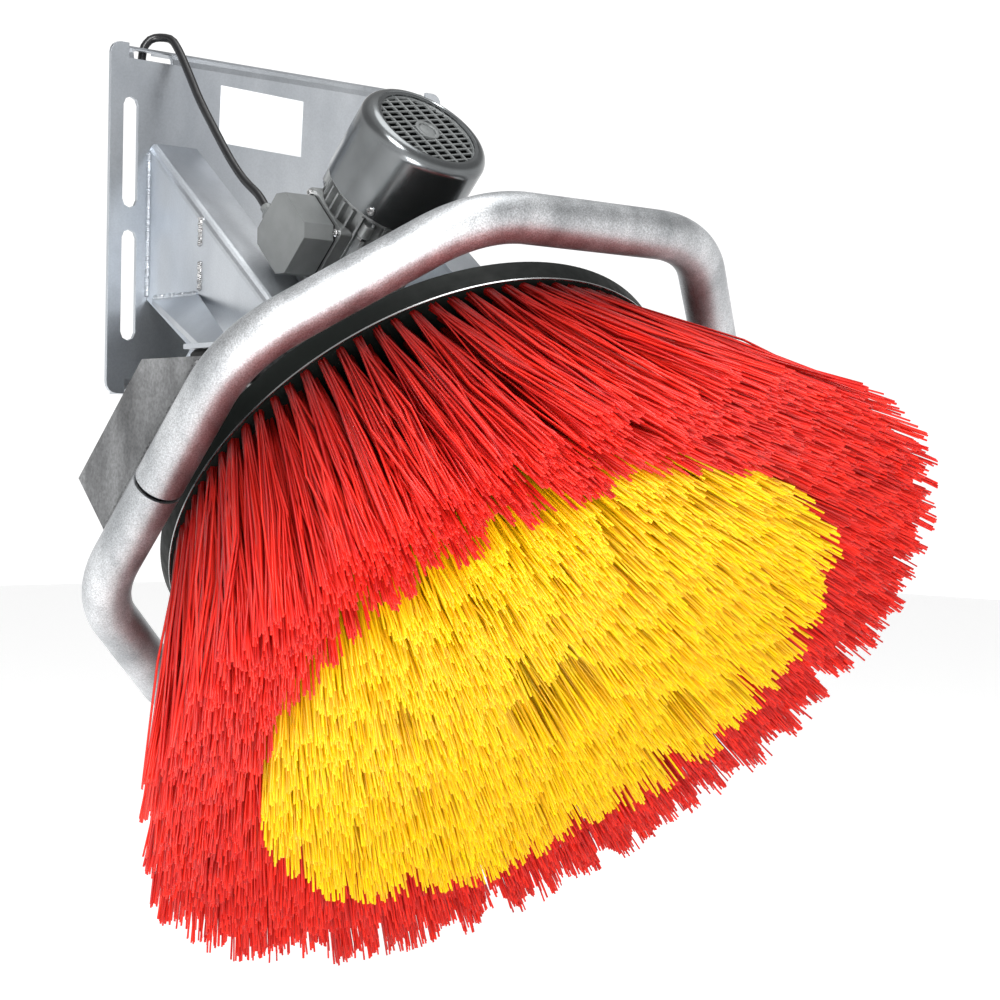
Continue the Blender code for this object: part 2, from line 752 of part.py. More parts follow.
# Outriggers, buffers and their bolts
def outrigger(name, side):
    start = ARM_SIDE + SEAT_GAP
    foot_middle = FOOT_TOP - OUTRIGGER_SHEET / 2
    run = Vector((FOOT_INNER - start, foot_middle - OUTRIGGER_TOP))
    root = Vector((start, OUTRIGGER_TOP)) - run.normalized() * OUTRIGGER_SHEET * 2
    section = [tuple(root), (FOOT_INNER, foot_middle), (FOOT_OUTER, foot_middle)]
    strip = [(side * u, w) for u, w in folded_strip(section, OUTRIGGER_SHEET, OUTRIGGER_FOLD_RADIUS)]
    piece = slab(name, [strip], 0, -FOOT_FRONT)
    finish_piece(piece, "galvanised_sheet", None, FRONT_ON)
    plan = [
        (side * start, OUTRIGGER_ROOT_BACK), (side * start, OUTRIGGER_ROOT_FRONT),
        (side * FOOT_INNER, FOOT_FRONT), (side * FOOT_OUTER, FOOT_FRONT),
        (side * FOOT_OUTER, FOOT_BACK), (side * FOOT_INNER, FOOT_BACK),
    ]
    trim = slab(name + "_trim", [plan], -HEAD_DROP, PLATE_TOP)
    boolean(piece, make_cutter(trim), "INTERSECT")
    return piece


def buffer_set(label, side, foot, beam):
    """The rubber buffer on one side, its bolt, and the bolt holes, blind in the foot."""
    x = side * (FOOT_OUTER - BUFFER_WIDTH / 2)
    bolt_x = side * (FOOT_OUTER - BUFFER_BOLT_FROM_EDGE)
    tip = FOOT_TOP - BUFFER_BOLT_COVER
    y = (FOOT_BACK + FOOT_FRONT) / 2
    bottom = BEAM_TOP + SEAT_GAP
    rubber = block(
        label + "_buffer",
        (x - BUFFER_WIDTH / 2, y - BUFFER_LENGTH / 2, bottom),
        (x + BUFFER_WIDTH / 2, y + BUFFER_LENGTH / 2, bottom + BUFFER_HEIGHT),
    )
    finish_piece(rubber, "black_rubber")
    chamfer(rubber, BUFFER_CHAMFER)
    hole = drum(
        label + "_buffer_hole", BUFFER_BOLT_RADIUS + SEAT_GAP,
        BEAM_TOP - BEAM_SHEET - OVERRUN, tip, SMALL_STEPS,
    )
    make_cutter(hole, None, Matrix.Translation((bolt_x, y, 0)))
    for piece in (rubber, foot, beam):
        boolean(piece, hole)
    bolt(
        label + "_buffer_bolt", "bright_steel", BUFFER_BOLT_RADIUS, BUFFER_BOLT_ACROSS,
        BEAM_TOP - BEAM_SHEET - SEAT_GAP, tip - SEAT_GAP - BUFFER_BOLT_RADIUS / 2, 0,
        None, Matrix.Translation((bolt_x, y, 0)),
    )


# Ring beam and cheeks
def ring_beam():
    """A flat bar folded up along its front edge, with the fold cut away beyond the buffers."""
    middle = BEAM_SHEET / 2
    front, back = BEAM_FRONT + middle, BEAM_FRONT + BEAM_DEPTH
    leg_top = BEAM_TOP + BEAM_LEG
    section = [(front, leg_top), (front, BEAM_TOP - middle), (back, BEAM_TOP - middle)]
    strip = folded_strip(section, BEAM_SHEET, BEAM_FOLD_RADIUS)
    reach = CHEEK_INNER - SEAT_GAP
    beam = finish_piece(slab("ring_beam", [strip], -reach, reach), "dull_zinc", None, SIDE_ON)
    for side in (-1, 1):
        inner, outer = sorted((side * (FOOT_INNER - BEAM_LEG_CLEARANCE), side * CHEEK_OUTER))
        notch = block(
            f"beam_notch_{side}", (inner, BEAM_FRONT - OVERRUN, BEAM_TOP),
            (outer, back + OVERRUN, leg_top + OVERRUN),
        )
        boolean(beam, make_cutter(notch))
    return beam


def ring_path(side_end):
    """Half of the ring's middle line, from the right side round the end to the left side."""
    corners = [
        (RING_HALF_WIDTH, side_end),
        (RING_HALF_WIDTH, RING_SIDE_HALF),
        (RING_END_HALF, RING_HALF_HEIGHT),
        (-RING_END_HALF, RING_HALF_HEIGHT),
        (-RING_HALF_WIDTH, RING_SIDE_HALF),
        (-RING_HALF_WIDTH, side_end),
    ]
    return [tuple(p) for p, _ in filleted(corners, RING_BEND_RADIUS, RING_BEND_STEPS)]


def guard_ring_half(name, direction, split):
    """One bent half of the ring. The upper half runs to -Y of the head and the lower to +Y."""
    path = [(x, direction * y, -RING_BELOW_DISC_TOP) for x, y in ring_path(split)]
    piece = rod_along(name, path, RING_TUBE_RADIUS, RING_BEVEL_RESOLUTION)
    finish_piece(piece, "galvanised_tube", head)
    for side in (-1, 1):
        bore = drum(
            f"{name}_bore_{side}", RING_BORE_RADIUS, split - OVERRUN, split + RING_BORE_DEPTH, SMALL_STEPS
        )
        along = Matrix.Rotation(-direction * QUARTER_TURN, 4, "X")
        place = Matrix.Translation((side * RING_HALF_WIDTH, 0, -RING_BELOW_DISC_TOP)) @ along
        boolean(piece, make_cutter(bore, head, place))
    return piece


def saddle_cutter():
    """The ring's tube with its seat gap, which shapes the edge of each cheek."""
    half = ring_path(0)
    path = half + [(x, -y) for x, y in half[::-1]]
    points = [(x, y, -RING_BELOW_DISC_TOP) for x, y in path]
    body = rod_along("ring_saddle", points, RING_TUBE_RADIUS + SEAT_GAP, RING_BEVEL_RESOLUTION, True)
    return make_cutter(body, head)


def cheek(name, side, saddle):
    """A cheek plate: its back edge lies along the ring, its top is level and its low end square."""
    tube_top = RING_TUBE_RADIUS - RING_BELOW_DISC_TOP
    low = tube_top - CHEEK_RING_OVERLAP
    level_run = (CHEEK_BACK_STATION - low) * math.tan(HEAD_TILT)
    outline = [
        (CHEEK_LOW_END, low),
        (CHEEK_LOW_END, CHEEK_BACK_STATION),
        (CHEEK_TOP_CORNER, CHEEK_BACK_STATION),
        (CHEEK_TOP_CORNER - level_run, low),
    ]
    start, end = sorted((side * CHEEK_INNER, side * CHEEK_OUTER))
    piece = slab(name, [outline], start, end)
    finish_piece(piece, "dull_zinc", head, SIDE_ON)
    boolean(piece, saddle)
    return piece


# Gearbox cradle
def cradle():
    middle = CRADLE_SHEET / 2
    side = ARM_SIDE - ARM_SHEET - SEAT_GAP - middle
    floor = CRADLE_WEB_BOTTOM + middle
    rim = CRADLE_WEB_BOTTOM + CRADLE_RISE
    section = [(-side, rim), (-side, floor), (side, floor), (side, rim)]
    strip = folded_strip(section, CRADLE_SHEET, CRADLE_FOLD_RADIUS)
    piece = slab("gearbox_cradle", [strip], -CRADLE_BACK, -CRADLE_FRONT)
    finish_piece(piece, "galvanised_sheet", head, FRONT_ON)
    hole = drum(
        "cradle_hole", GEARBOX_BOSS_RADIUS + SEAT_GAP,
        CRADLE_WEB_BOTTOM - OVERRUN, CRADLE_WEB_TOP + OVERRUN,
    )
    boolean(piece, make_cutter(hole, head))
    return piece


def cradle_bolts(cradle_piece, housing):
    """Four bolts from below, through the cradle's floor into the gearbox flange."""
    for number in range(CRADLE_BOLT_COUNT):
        angle = CRADLE_BOLT_FIRST_ANGLE + number * math.tau / CRADLE_BOLT_COUNT
        x, y = CRADLE_BOLT_CIRCLE * math.cos(angle), CRADLE_BOLT_CIRCLE * math.sin(angle)
        place = Matrix.Translation((x, y, 0))
        tip = CRADLE_WEB_BOTTOM + CRADLE_BOLT_GRIP
        hole = drum(
            f"cradle_bolt_hole_{number + 1}", CRADLE_BOLT_RADIUS + SEAT_GAP,
            CRADLE_WEB_BOTTOM - OVERRUN, tip + OVERRUN, SMALL_STEPS,
        )
        make_cutter(hole, head, place)
        boolean(cradle_piece, hole)
        boolean(housing, hole)
        bolt(
            f"gearbox_bolt_{number + 1}", "bright_steel", CRADLE_BOLT_RADIUS, CRADLE_BOLT_ACROSS,
            CRADLE_WEB_BOTTOM - SEAT_GAP, tip - CRADLE_BOLT_RADIUS / 2, 0, head, place,
        )


# Gearbox housing and cover
LOWER_BEARING_BOTTOM = CRADLE_WEB_TOP + SEAT_GAP
LOWER_BEARING_TOP = LOWER_BEARING_BOTTOM + OUTPUT_BEARING_WIDTH
CASE_TOP = GEARBOX_STATION + GEARBOX_HALF_WIDTH - COVER_THICKNESS
COVER_BOTTOM = CASE_TOP + SEAT_GAP
COVER_TOP = COVER_BOTTOM + COVER_THICKNESS
BOSS_BOTTOM = CRADLE_WEB_TOP - GEARBOX_BOSS_LENGTH
UPPER_BEARING_TOP = COVER_BOTTOM + COVER_THICKNESS / 2 - SEAT_GAP
UPPER_BEARING_BOTTOM = UPPER_BEARING_TOP - OUTPUT_BEARING_WIDTH


def gear_housing():
    """Cast case: round wheel chamber, worm tunnel across it, square foot flange and motor pad."""
    foot_bottom = CRADLE_WEB_TOP + SEAT_GAP
    case_bottom = foot_bottom + GEARBOX_FLANGE_THICKNESS / 2
    case = turned(
        "gear_housing",
        [(0, CASE_TOP), (WHEEL_CASE_RADIUS, CASE_TOP), (WHEEL_CASE_RADIUS, case_bottom),
         (GEARBOX_BOSS_RADIUS, case_bottom), (GEARBOX_BOSS_RADIUS, BOSS_BOTTOM), (0, BOSS_BOTTOM)],
        ROUND_STEPS,
    )
    finish_piece(case, "cast_aluminium", head, HALF_FACET_TURN)
    half = GEARBOX_FLANGE / 2
    foot = slab(
        "gearbox_foot", [rounded_rectangle((-half, -half), (half, half), GEARBOX_FLANGE_CORNER)],
        foot_bottom, foot_bottom + GEARBOX_FLANGE_THICKNESS,
    )
    boolean(case, make_cutter(foot, head), "UNION")
    tunnel = turned(
        "worm_tunnel",
        [(0, GEARBOX_HALF_LENGTH), (MOTOR_PAD_RADIUS, GEARBOX_HALF_LENGTH),
         (MOTOR_PAD_RADIUS, GEARBOX_HALF_LENGTH - MOTOR_PAD_THICKNESS),
         (WORM_TUNNEL_RADIUS, GEARBOX_HALF_LENGTH - MOTOR_PAD_THICKNESS),
         (WORM_TUNNEL_RADIUS, -GEARBOX_HALF_LENGTH), (0, -GEARBOX_HALF_LENGTH)],
        ROUND_STEPS,
    )
    boolean(case, make_cutter(tunnel, motor, HALF_FACET_TURN), "UNION")
    for number in range(RIB_COUNT):
        angle = RIB_FIRST_ANGLE + number * RIB_STEP_ANGLE
        rib = block(
            f"case_rib_{number + 1}",
            (GEARBOX_BOSS_RADIUS, -RIB_THICKNESS / 2, case_bottom),
            (WHEEL_CASE_RADIUS + RIB_THICKNESS, RIB_THICKNESS / 2, foot_bottom + RIB_HEIGHT),
        )
        boolean(case, make_cutter(rib, head, Matrix.Rotation(angle, 4, "Z")), "UNION")
    chamber = turned(
        "wheel_chamber",
        [(0, CASE_TOP + OVERRUN), (WHEEL_CHAMBER_RADIUS, CASE_TOP + OVERRUN),
         (WHEEL_CHAMBER_RADIUS, LOWER_BEARING_TOP), (OUTPUT_BEARING_RADIUS + SEAT_GAP, LOWER_BEARING_TOP),
         (OUTPUT_BEARING_RADIUS + SEAT_GAP, LOWER_BEARING_BOTTOM),
         (SEAL_RADIUS + SEAT_GAP, LOWER_BEARING_BOTTOM - SEAT_GAP),
         (SEAL_RADIUS + SEAT_GAP, BOSS_BOTTOM - OVERRUN), (0, BOSS_BOTTOM - OVERRUN)],
        ROUND_STEPS,
    )
    boolean(case, make_cutter(chamber, head))
    seat = WORM_BEARING_RADIUS + SEAT_GAP
    reach = GEARBOX_HALF_LENGTH + OVERRUN
    bore = turned(
        "worm_bore",
        [(0, reach), (seat, reach), (seat, WORM_BEARING_STATION),
         (WORM_CLEARANCE_RADIUS, WORM_BEARING_STATION), (WORM_CLEARANCE_RADIUS, -WORM_BEARING_STATION),
         (seat, -WORM_BEARING_STATION), (seat, -reach), (0, -reach)],
        ROUND_STEPS,
    )
    boolean(case, make_cutter(bore, motor))
    return case


def gear_cover():
    """Round cover with a skirt that seats the upper output bearing."""
    seat = OUTPUT_BEARING_RADIUS + SEAT_GAP
    skirt = WHEEL_CHAMBER_RADIUS - SEAT_GAP
    ceiling = COVER_BOTTOM + COVER_THICKNESS / 2
    profile = [
        (0, COVER_TOP), (WHEEL_CASE_RADIUS - OVERRUN, COVER_TOP), (WHEEL_CASE_RADIUS, COVER_TOP - OVERRUN),
        (WHEEL_CASE_RADIUS, COVER_BOTTOM), (skirt, COVER_BOTTOM), (skirt, COVER_BOTTOM - COVER_SKIRT),
        (seat, COVER_BOTTOM - COVER_SKIRT), (seat, ceiling), (0, ceiling),
    ]
    return finish_piece(turned("gear_cover", profile), "cast_aluminium", head)


def bearing(name, bore, outer, width, start, parent):
    """A sealed ball bearing, drawn as one ring."""
    return finish_piece(
        turned(name, ring_profile(outer, bore, start + width, start), BEARING_STEPS), "bearing_steel", parent
    )


def output_seal():
    top = LOWER_BEARING_BOTTOM - SEAT_GAP * 2
    bottom = top - SEAL_WIDTH
    bore = OUTPUT_SHAFT_RADIUS + SEAT_GAP
    lip = (SEAL_RADIUS - bore) * SEAL_LIP_SHARE
    profile = [
        (SEAL_RADIUS, top), (SEAL_RADIUS, bottom), (bore + lip, bottom),
        (bore + lip, bottom + lip), (bore, bottom + lip), (bore, top),
    ]
    return finish_piece(turned("output_seal", profile, ROUND_STEPS), "black_rubber", head)


# Worm gear pair
def worm_wheel():
    """A wheel of straight flanked teeth, set over to the worm's lead angle."""
    addendum = MODULE * ADDENDUM_SHARE
    dedendum = MODULE * DEDENDUM_SHARE
    tip, root = WHEEL_PITCH_RADIUS + addendum, WHEEL_PITCH_RADIUS - dedendum
    pitch_half = (WORM_PITCH / 2 - TOOTH_BACKLASH) / 2
    tip_half = pitch_half - addendum * math.tan(TOOTH_FLANK)
    root_half = pitch_half + dedendum * math.tan(TOOTH_FLANK)
    outline = []
    for tooth in range(WHEEL_TEETH):
        middle = math.pi + math.tau * (tooth + 0.5) / WHEEL_TEETH
        for radius, half in ((root, -root_half), (tip, -tip_half), (tip, tip_half), (root, root_half)):
            angle = middle + half / radius
            outline.append((radius * math.cos(angle), radius * math.sin(angle)))
    bore = OUTPUT_SHAFT_RADIUS + SEAT_GAP
    web = (bore + WHEEL_HUB_RADIUS) / 2
    start = GEARBOX_STATION - WHEEL_FACE / 2
    rim = slab("worm_wheel", [outline, circle(web)[::-1]], start, start + WHEEL_FACE)
    lead = math.atan(WORM_PITCH / (math.tau * WORM_PITCH_RADIUS))
    for vertex in rim.data.vertices:
        if vertex.co.to_2d().length > WHEEL_HUB_RADIUS:
            twist = (vertex.co.z - GEARBOX_STATION) * math.tan(lead) / WHEEL_PITCH_RADIUS
            vertex.co.rotate(Matrix.Rotation(twist, 3, "Z"))
    finish_piece(rim, "bronze", brush)
    hub = turned(
        "wheel_hub",
        ring_profile(
            WHEEL_HUB_RADIUS, bore, GEARBOX_STATION + WHEEL_HUB_LENGTH / 2,
            GEARBOX_STATION - WHEEL_HUB_LENGTH / 2,
        ),
    )
    boolean(rim, make_cutter(hub, brush), "UNION")
    return rim


def thread_radius(phase):
    """Radius of the worm at a phase of its pitch, 0 at the middle of the thread's crest."""
    addendum, dedendum = MODULE * ADDENDUM_SHARE, MODULE * DEDENDUM_SHARE
    pitch_half = (WORM_PITCH / 2 - TOOTH_BACKLASH) / 2
    offset = abs((phase + 0.5) % 1.0 - 0.5) * WORM_PITCH
    rise = (pitch_half - offset) / math.tan(TOOTH_FLANK)
    return WORM_PITCH_RADIUS + max(-dedendum, min(addendum, rise))


def worm_shaft():
    """The worm: a sheet of points wrapped round the axis and raised to the thread's profile."""
    turns = 2 * WORM_THREAD_HALF_LENGTH / WORM_PITCH
    rows = round(turns * WORM_STEPS_PER_PITCH)
    work = bmesh.new()
    bmesh.ops.create_grid(work, x_segments=WORM_STEPS_ROUND, y_segments=rows, size=0.5)
    for vertex in work.verts:
        turn_share, along_share = vertex.co.x + 0.5, vertex.co.y
        along = along_share * 2 * WORM_THREAD_HALF_LENGTH
        radius = thread_radius(along / WORM_PITCH - turn_share)
        angle = turn_share * math.tau
        vertex.co = (radius * math.cos(angle), radius * math.sin(angle), along)
    bmesh.ops.remove_doubles(work, verts=work.verts, dist=WELD_DISTANCE)
    rims = [edge for edge in work.edges if edge.is_boundary]
    bmesh.ops.holes_fill(work, edges=rims)
    bmesh.ops.triangulate(work, faces=work.faces)
    bmesh.ops.recalc_face_normals(work, faces=work.faces)
    mesh = bpy.data.meshes.new("worm_shaft")
    work.to_mesh(mesh)
    work.free()
    thread = finish_piece(new_object("worm_shaft", mesh), "bright_steel", motor)
    end = WORM_THREAD_HALF_LENGTH - OVERRUN
    far = turned("worm_far_journal", disc_profile(WORM_COLLAR_RADIUS, -end, -WORM_FAR_STATION))
    near = turned("worm_input_journal", disc_profile(WORM_COLLAR_RADIUS, WORM_INPUT_STATION, end))
    for journal in (far, near):
        boolean(thread, make_cutter(journal, motor), "UNION")
    socket = drum(
        "worm_socket", MOTOR_SHAFT_END_RADIUS + SEAT_GAP,
        WORM_INPUT_STATION - WORM_BORE_DEPTH, WORM_INPUT_STATION + OVERRUN, SMALL_STEPS,
    )
    boolean(thread, make_cutter(socket, motor))
    return thread


def worm_end_cap():
    start = -GEARBOX_HALF_LENGTH
    radius = WORM_BEARING_RADIUS
    lip = WORM_TUNNEL_RADIUS
    depth = GEARBOX_HALF_LENGTH - WORM_BEARING_STATION - WORM_BEARING_WIDTH - 2 * SEAT_GAP
    profile = [
        (0, start + depth), (radius, start + depth), (radius, start - SEAT_GAP), (lip, start - SEAT_GAP),
        (lip, start - SEAT_GAP - CAP_LIP), (0, start - SEAT_GAP - CAP_LIP),
    ]
    cap = turned("worm_end_cap", profile, ROUND_STEPS)
    finish_piece(cap, "black_plastic", motor)
    relief = drum(
        "cap_relief", WORM_COLLAR_RADIUS + RUNNING_GAP, -WORM_FAR_STATION - RUNNING_GAP,
        start + depth + OVERRUN, SMALL_STEPS,
    )
    boolean(cap, make_cutter(relief, motor))
    return cap


# Output shaft and key
SHAFT_TOP = UPPER_BEARING_TOP - SHAFT_TOP_MARGIN
SHAFT_BOTTOM = -DISC_THICKNESS


def output_shaft():
    shoulder = OUTPUT_SHAFT_RADIUS
    shaft = turned(
        "output_shaft",
        [(0, SHAFT_TOP), (shoulder - OVERRUN / 2, SHAFT_TOP), (shoulder, SHAFT_TOP - OVERRUN / 2),
         (shoulder, SHAFT_BOTTOM), (0, SHAFT_BOTTOM)],
        BEARING_STEPS,
    )
    return finish_piece(shaft, "bright_steel", brush)


def shaft_key(shaft, wheel):
    """The feather key, half in the shaft and half in the wheel, with its two slots."""
    half_length = KEY_LENGTH / 2
    base = OUTPUT_SHAFT_RADIUS - KEY_HEIGHT / 2
    low = (base, -KEY_WIDTH / 2, GEARBOX_STATION - half_length)
    high = (base + KEY_HEIGHT, KEY_WIDTH / 2, GEARBOX_STATION + half_length)
    finish_piece(block("shaft_key", low, high), "bearing_steel", brush)
    spread = Vector((SEAT_GAP,) * 3)
    keyway = make_cutter(block("keyway", Vector(low) - spread, Vector(high) + spread), brush)
    through = Vector((0, 0, WHEEL_HUB_LENGTH))
    broach = make_cutter(
        block("wheel_keyway", Vector(low) - spread - through, Vector(high) + spread + through), brush
    )
    boolean(shaft, keyway)
    boolean(wheel, broach)


# Motor
def motor_flange():
    """Drive end shield: square register to the gearbox pad, then a bell out to the housing."""
    start = GEARBOX_HALF_LENGTH + SEAT_GAP
    end = MOTOR_HOUSING_START - SEAT_GAP
    step = start + MOTOR_SPIGOT_THICKNESS
    seat = MOTOR_BEARING_RADIUS + SEAT_GAP
    seat_start = end - MOTOR_BEARING_WIDTH - SEAT_GAP
    profile = [
        (MOTOR_SHIELD_RADIUS, end), (MOTOR_SHIELD_RADIUS, end - MOTOR_SPIGOT_THICKNESS),
        (MOTOR_PAD_RADIUS, step), (MOTOR_PAD_RADIUS, start), (WORM_COLLAR_RADIUS + RUNNING_GAP, start),
        (WORM_COLLAR_RADIUS + RUNNING_GAP, seat_start), (seat, seat_start), (seat, end),
    ]
    return finish_piece(turned("motor_flange", profile, FINE_STEPS), "cast_aluminium", motor)


def motor_housing():
    """The finned barrel, extruded like the real die-cast one: fins all round a thin wall."""
    outline = []
    pitch = math.tau / FIN_COUNT
    half = pitch * FIN_THICKNESS_SHARE / 2
    taper = half * FIN_TIP_SHARE
    for fin in range(FIN_COUNT):
        middle = fin * pitch
        for radius, offset in (
            (FIN_ROOT_RADIUS, -half), (FIN_TIP_RADIUS, -taper), (FIN_TIP_RADIUS, taper), (FIN_ROOT_RADIUS, half)
        ):
            outline.append((radius * math.cos(middle + offset), radius * math.sin(middle + offset)))
    barrel = slab(
        "motor_housing", [outline, circle(HOUSING_BORE_RADIUS)[::-1]],
        MOTOR_HOUSING_START, MOTOR_HOUSING_END,
    )
    return finish_piece(barrel, "cast_aluminium", motor)


MOTOR_MIDDLE = MOTOR_HOUSING_START + MOTOR_HOUSING_LENGTH / 2
FAN_END_BEARING_START = MOTOR_HOUSING_END + SEAT_GAP


def stator_core():
    half = STATOR_LENGTH / 2 + WINDING_OVERHANG
    profile = ring_profile(
        HOUSING_BORE_RADIUS - SEAT_GAP, STATOR_BORE_RADIUS, MOTOR_MIDDLE + half, MOTOR_MIDDLE - half
    )
    return finish_piece(turned("stator_core", profile), "copper_winding", motor)


def rotor_core():
    outer = STATOR_BORE_RADIUS - RUNNING_GAP / 2
    half = ROTOR_LENGTH / 2
    profile = ring_profile(outer, ROTOR_SHAFT_RADIUS + SEAT_GAP, MOTOR_MIDDLE + half, MOTOR_MIDDLE - half)
    return finish_piece(turned("rotor_core", profile), "cast_aluminium", motor)


def motor_shaft():
    """Stepped shaft: the gearbox end in the worm, two journals, the rotor seat and the fan end."""
    near = MOTOR_HOUSING_START
    far = FAN_END_BEARING_START
    step = near - MOTOR_BEARING_WIDTH - SEAT_GAP
    tip = WORM_INPUT_STATION - WORM_BORE_DEPTH + SEAT_GAP
    end = FAN_START + FAN_BLADE_DEPTH
    profile = [
        (0, end), (MOTOR_SHAFT_END_RADIUS, end), (MOTOR_SHAFT_END_RADIUS, far + MOTOR_BEARING_WIDTH),
        (MOTOR_JOURNAL_RADIUS, far + MOTOR_BEARING_WIDTH), (MOTOR_JOURNAL_RADIUS, far - SEAT_GAP),
        (ROTOR_SHAFT_RADIUS, far - SEAT_GAP), (ROTOR_SHAFT_RADIUS, near + SEAT_GAP),
        (MOTOR_JOURNAL_RADIUS, near + SEAT_GAP), (MOTOR_JOURNAL_RADIUS, step), (MOTOR_SHAFT_END_RADIUS, step),
        (MOTOR_SHAFT_END_RADIUS, tip), (0, tip),
    ]
    return finish_piece(turned("motor_shaft", profile, SMALL_STEPS), "bright_steel", motor)


def fan_end_shield():
    start = FAN_END_BEARING_START
    end = start + END_SHIELD_THICKNESS
    seat = MOTOR_BEARING_RADIUS + SEAT_GAP
    bore = MOTOR_JOURNAL_RADIUS + RUNNING_GAP
    ceiling = start + MOTOR_BEARING_WIDTH + SEAT_GAP
    top = max(end, ceiling + SEAT_GAP)
    spigot = COVER_RADIUS - COVER_SHEET - 2 * SEAT_GAP
    step = COVER_START - SEAT_GAP
    profile = [
        (spigot, top), (spigot, step), (MOTOR_SHIELD_RADIUS, step), (MOTOR_SHIELD_RADIUS, start),
        (seat, start), (seat, ceiling), (bore, ceiling), (bore, top),
    ]
    return finish_piece(turned("fan_end_shield", profile, ROUND_STEPS), "cast_aluminium", motor)


def motor_fan():
    """Radial fan: back plate, hub and straight blades."""
    outline = []
    half = FAN_BLADE_THICKNESS / 2
    gap_angle = math.tau / FAN_BLADES
    for blade in range(FAN_BLADES):
        angle = blade * gap_angle
        along, across = Vector((math.cos(angle), math.sin(angle))), Vector((-math.sin(angle), math.cos(angle)))
        root = math.sqrt(FAN_HUB_RADIUS**2 - half**2)
        outline += [tuple(along * r + across * s * half) for r, s in (
            (root, -1), (FAN_RADIUS, -1), (FAN_RADIUS, 1), (root, 1)
        )]
        start, end = (angle + gap_angle * share for share in FAN_HUB_ARC_SHARES)
        outline += arc((0, 0), FAN_HUB_RADIUS, start, end, FAN_HUB_ARC_STEPS)
    bore = circle(MOTOR_SHAFT_END_RADIUS + SEAT_GAP, SMALL_STEPS)[::-1]
    blades = slab("motor_fan", [outline, bore], FAN_START, FAN_START + FAN_BLADE_DEPTH)
    finish_piece(blades, "black_plastic", motor)
    back = slab(
        "fan_plate", [circle(FAN_RADIUS - OVERRUN), bore],
        FAN_START - FAN_PLATE_THICKNESS, FAN_START + FAN_PLATE_OVERLAP,
    )
    boolean(blades, make_cutter(back, motor), "UNION")
    return blades


def fan_cover():
    """Pressed steel cowl with a rounded shoulder, a rolled rim and the grille's mouth."""
    sheet = COVER_SHEET
    middle = (COVER_RADIUS - COVER_SHOULDER, COVER_END - COVER_SHOULDER)
    outer_arc = arc(middle, COVER_SHOULDER, COVER_SHOULDER_ANGLE, 0, SHOULDER_STEPS)
    inner_arc = arc(middle, COVER_SHOULDER - sheet, 0, COVER_SHOULDER_ANGLE, SHOULDER_STEPS)
    face = COVER_END - sheet
    profile = [(COVER_MOUTH_RADIUS, face - sheet)]
    profile += [(COVER_MOUTH_RADIUS, face), (COVER_RIM_RADIUS, face)]
    profile += outer_arc
    profile += [(COVER_RADIUS, COVER_START), (COVER_RADIUS - sheet, COVER_START)]
    profile += inner_arc
    profile += [(COVER_RIM_RADIUS, face - sheet)]
    return finish_piece(turned("fan_cover", profile, FINE_STEPS), "steel_cover", motor)


def fan_grille():
    """The grille behind the cowl's mouth: rows of oblong holes round a plain hub."""
    holes = []
    columns = int(GRILLE_RADIUS / GRILLE_PITCH_WIDE)
    rows = int(GRILLE_RADIUS / GRILLE_PITCH_NARROW)
    for column in range(-columns, columns + 1):
        for row in range(-rows, rows + 1):
            x, y = column * GRILLE_PITCH_WIDE, row * GRILLE_PITCH_NARROW
            half_x, half_y = GRILLE_HOLE_WIDE / 2, GRILLE_HOLE_NARROW / 2
            far = math.hypot(abs(x) + half_x, abs(y) + half_y)
            if far < COVER_MOUTH_RADIUS - GRILLE_EDGE / 2 and math.hypot(x, y) > GRILLE_HUB_RADIUS:
                holes.append(rectangle((x - half_x, y - half_y), (x + half_x, y + half_y))[::-1])
    face = COVER_END - 2 * COVER_SHEET - SEAT_GAP
    grille = slab("fan_grille", [circle(GRILLE_RADIUS)] + holes, face - GRILLE_THICKNESS, face)
    return finish_piece(grille, "grey_plastic", motor)


# Terminal box on the motor's left side, drawn in a frame of its own
def box_place(depth):
    """A frame on the motor's left side, with local Z pointing out and its origin on the box's middle."""
    outward = Matrix(((0, 0, -1, 0), (0, 1, 0, 0), (1, 0, 0, 0), (0, 0, 0, 1)))
    return Matrix.Translation((depth, -BOX_STATION, GEARBOX_STATION)) @ outward


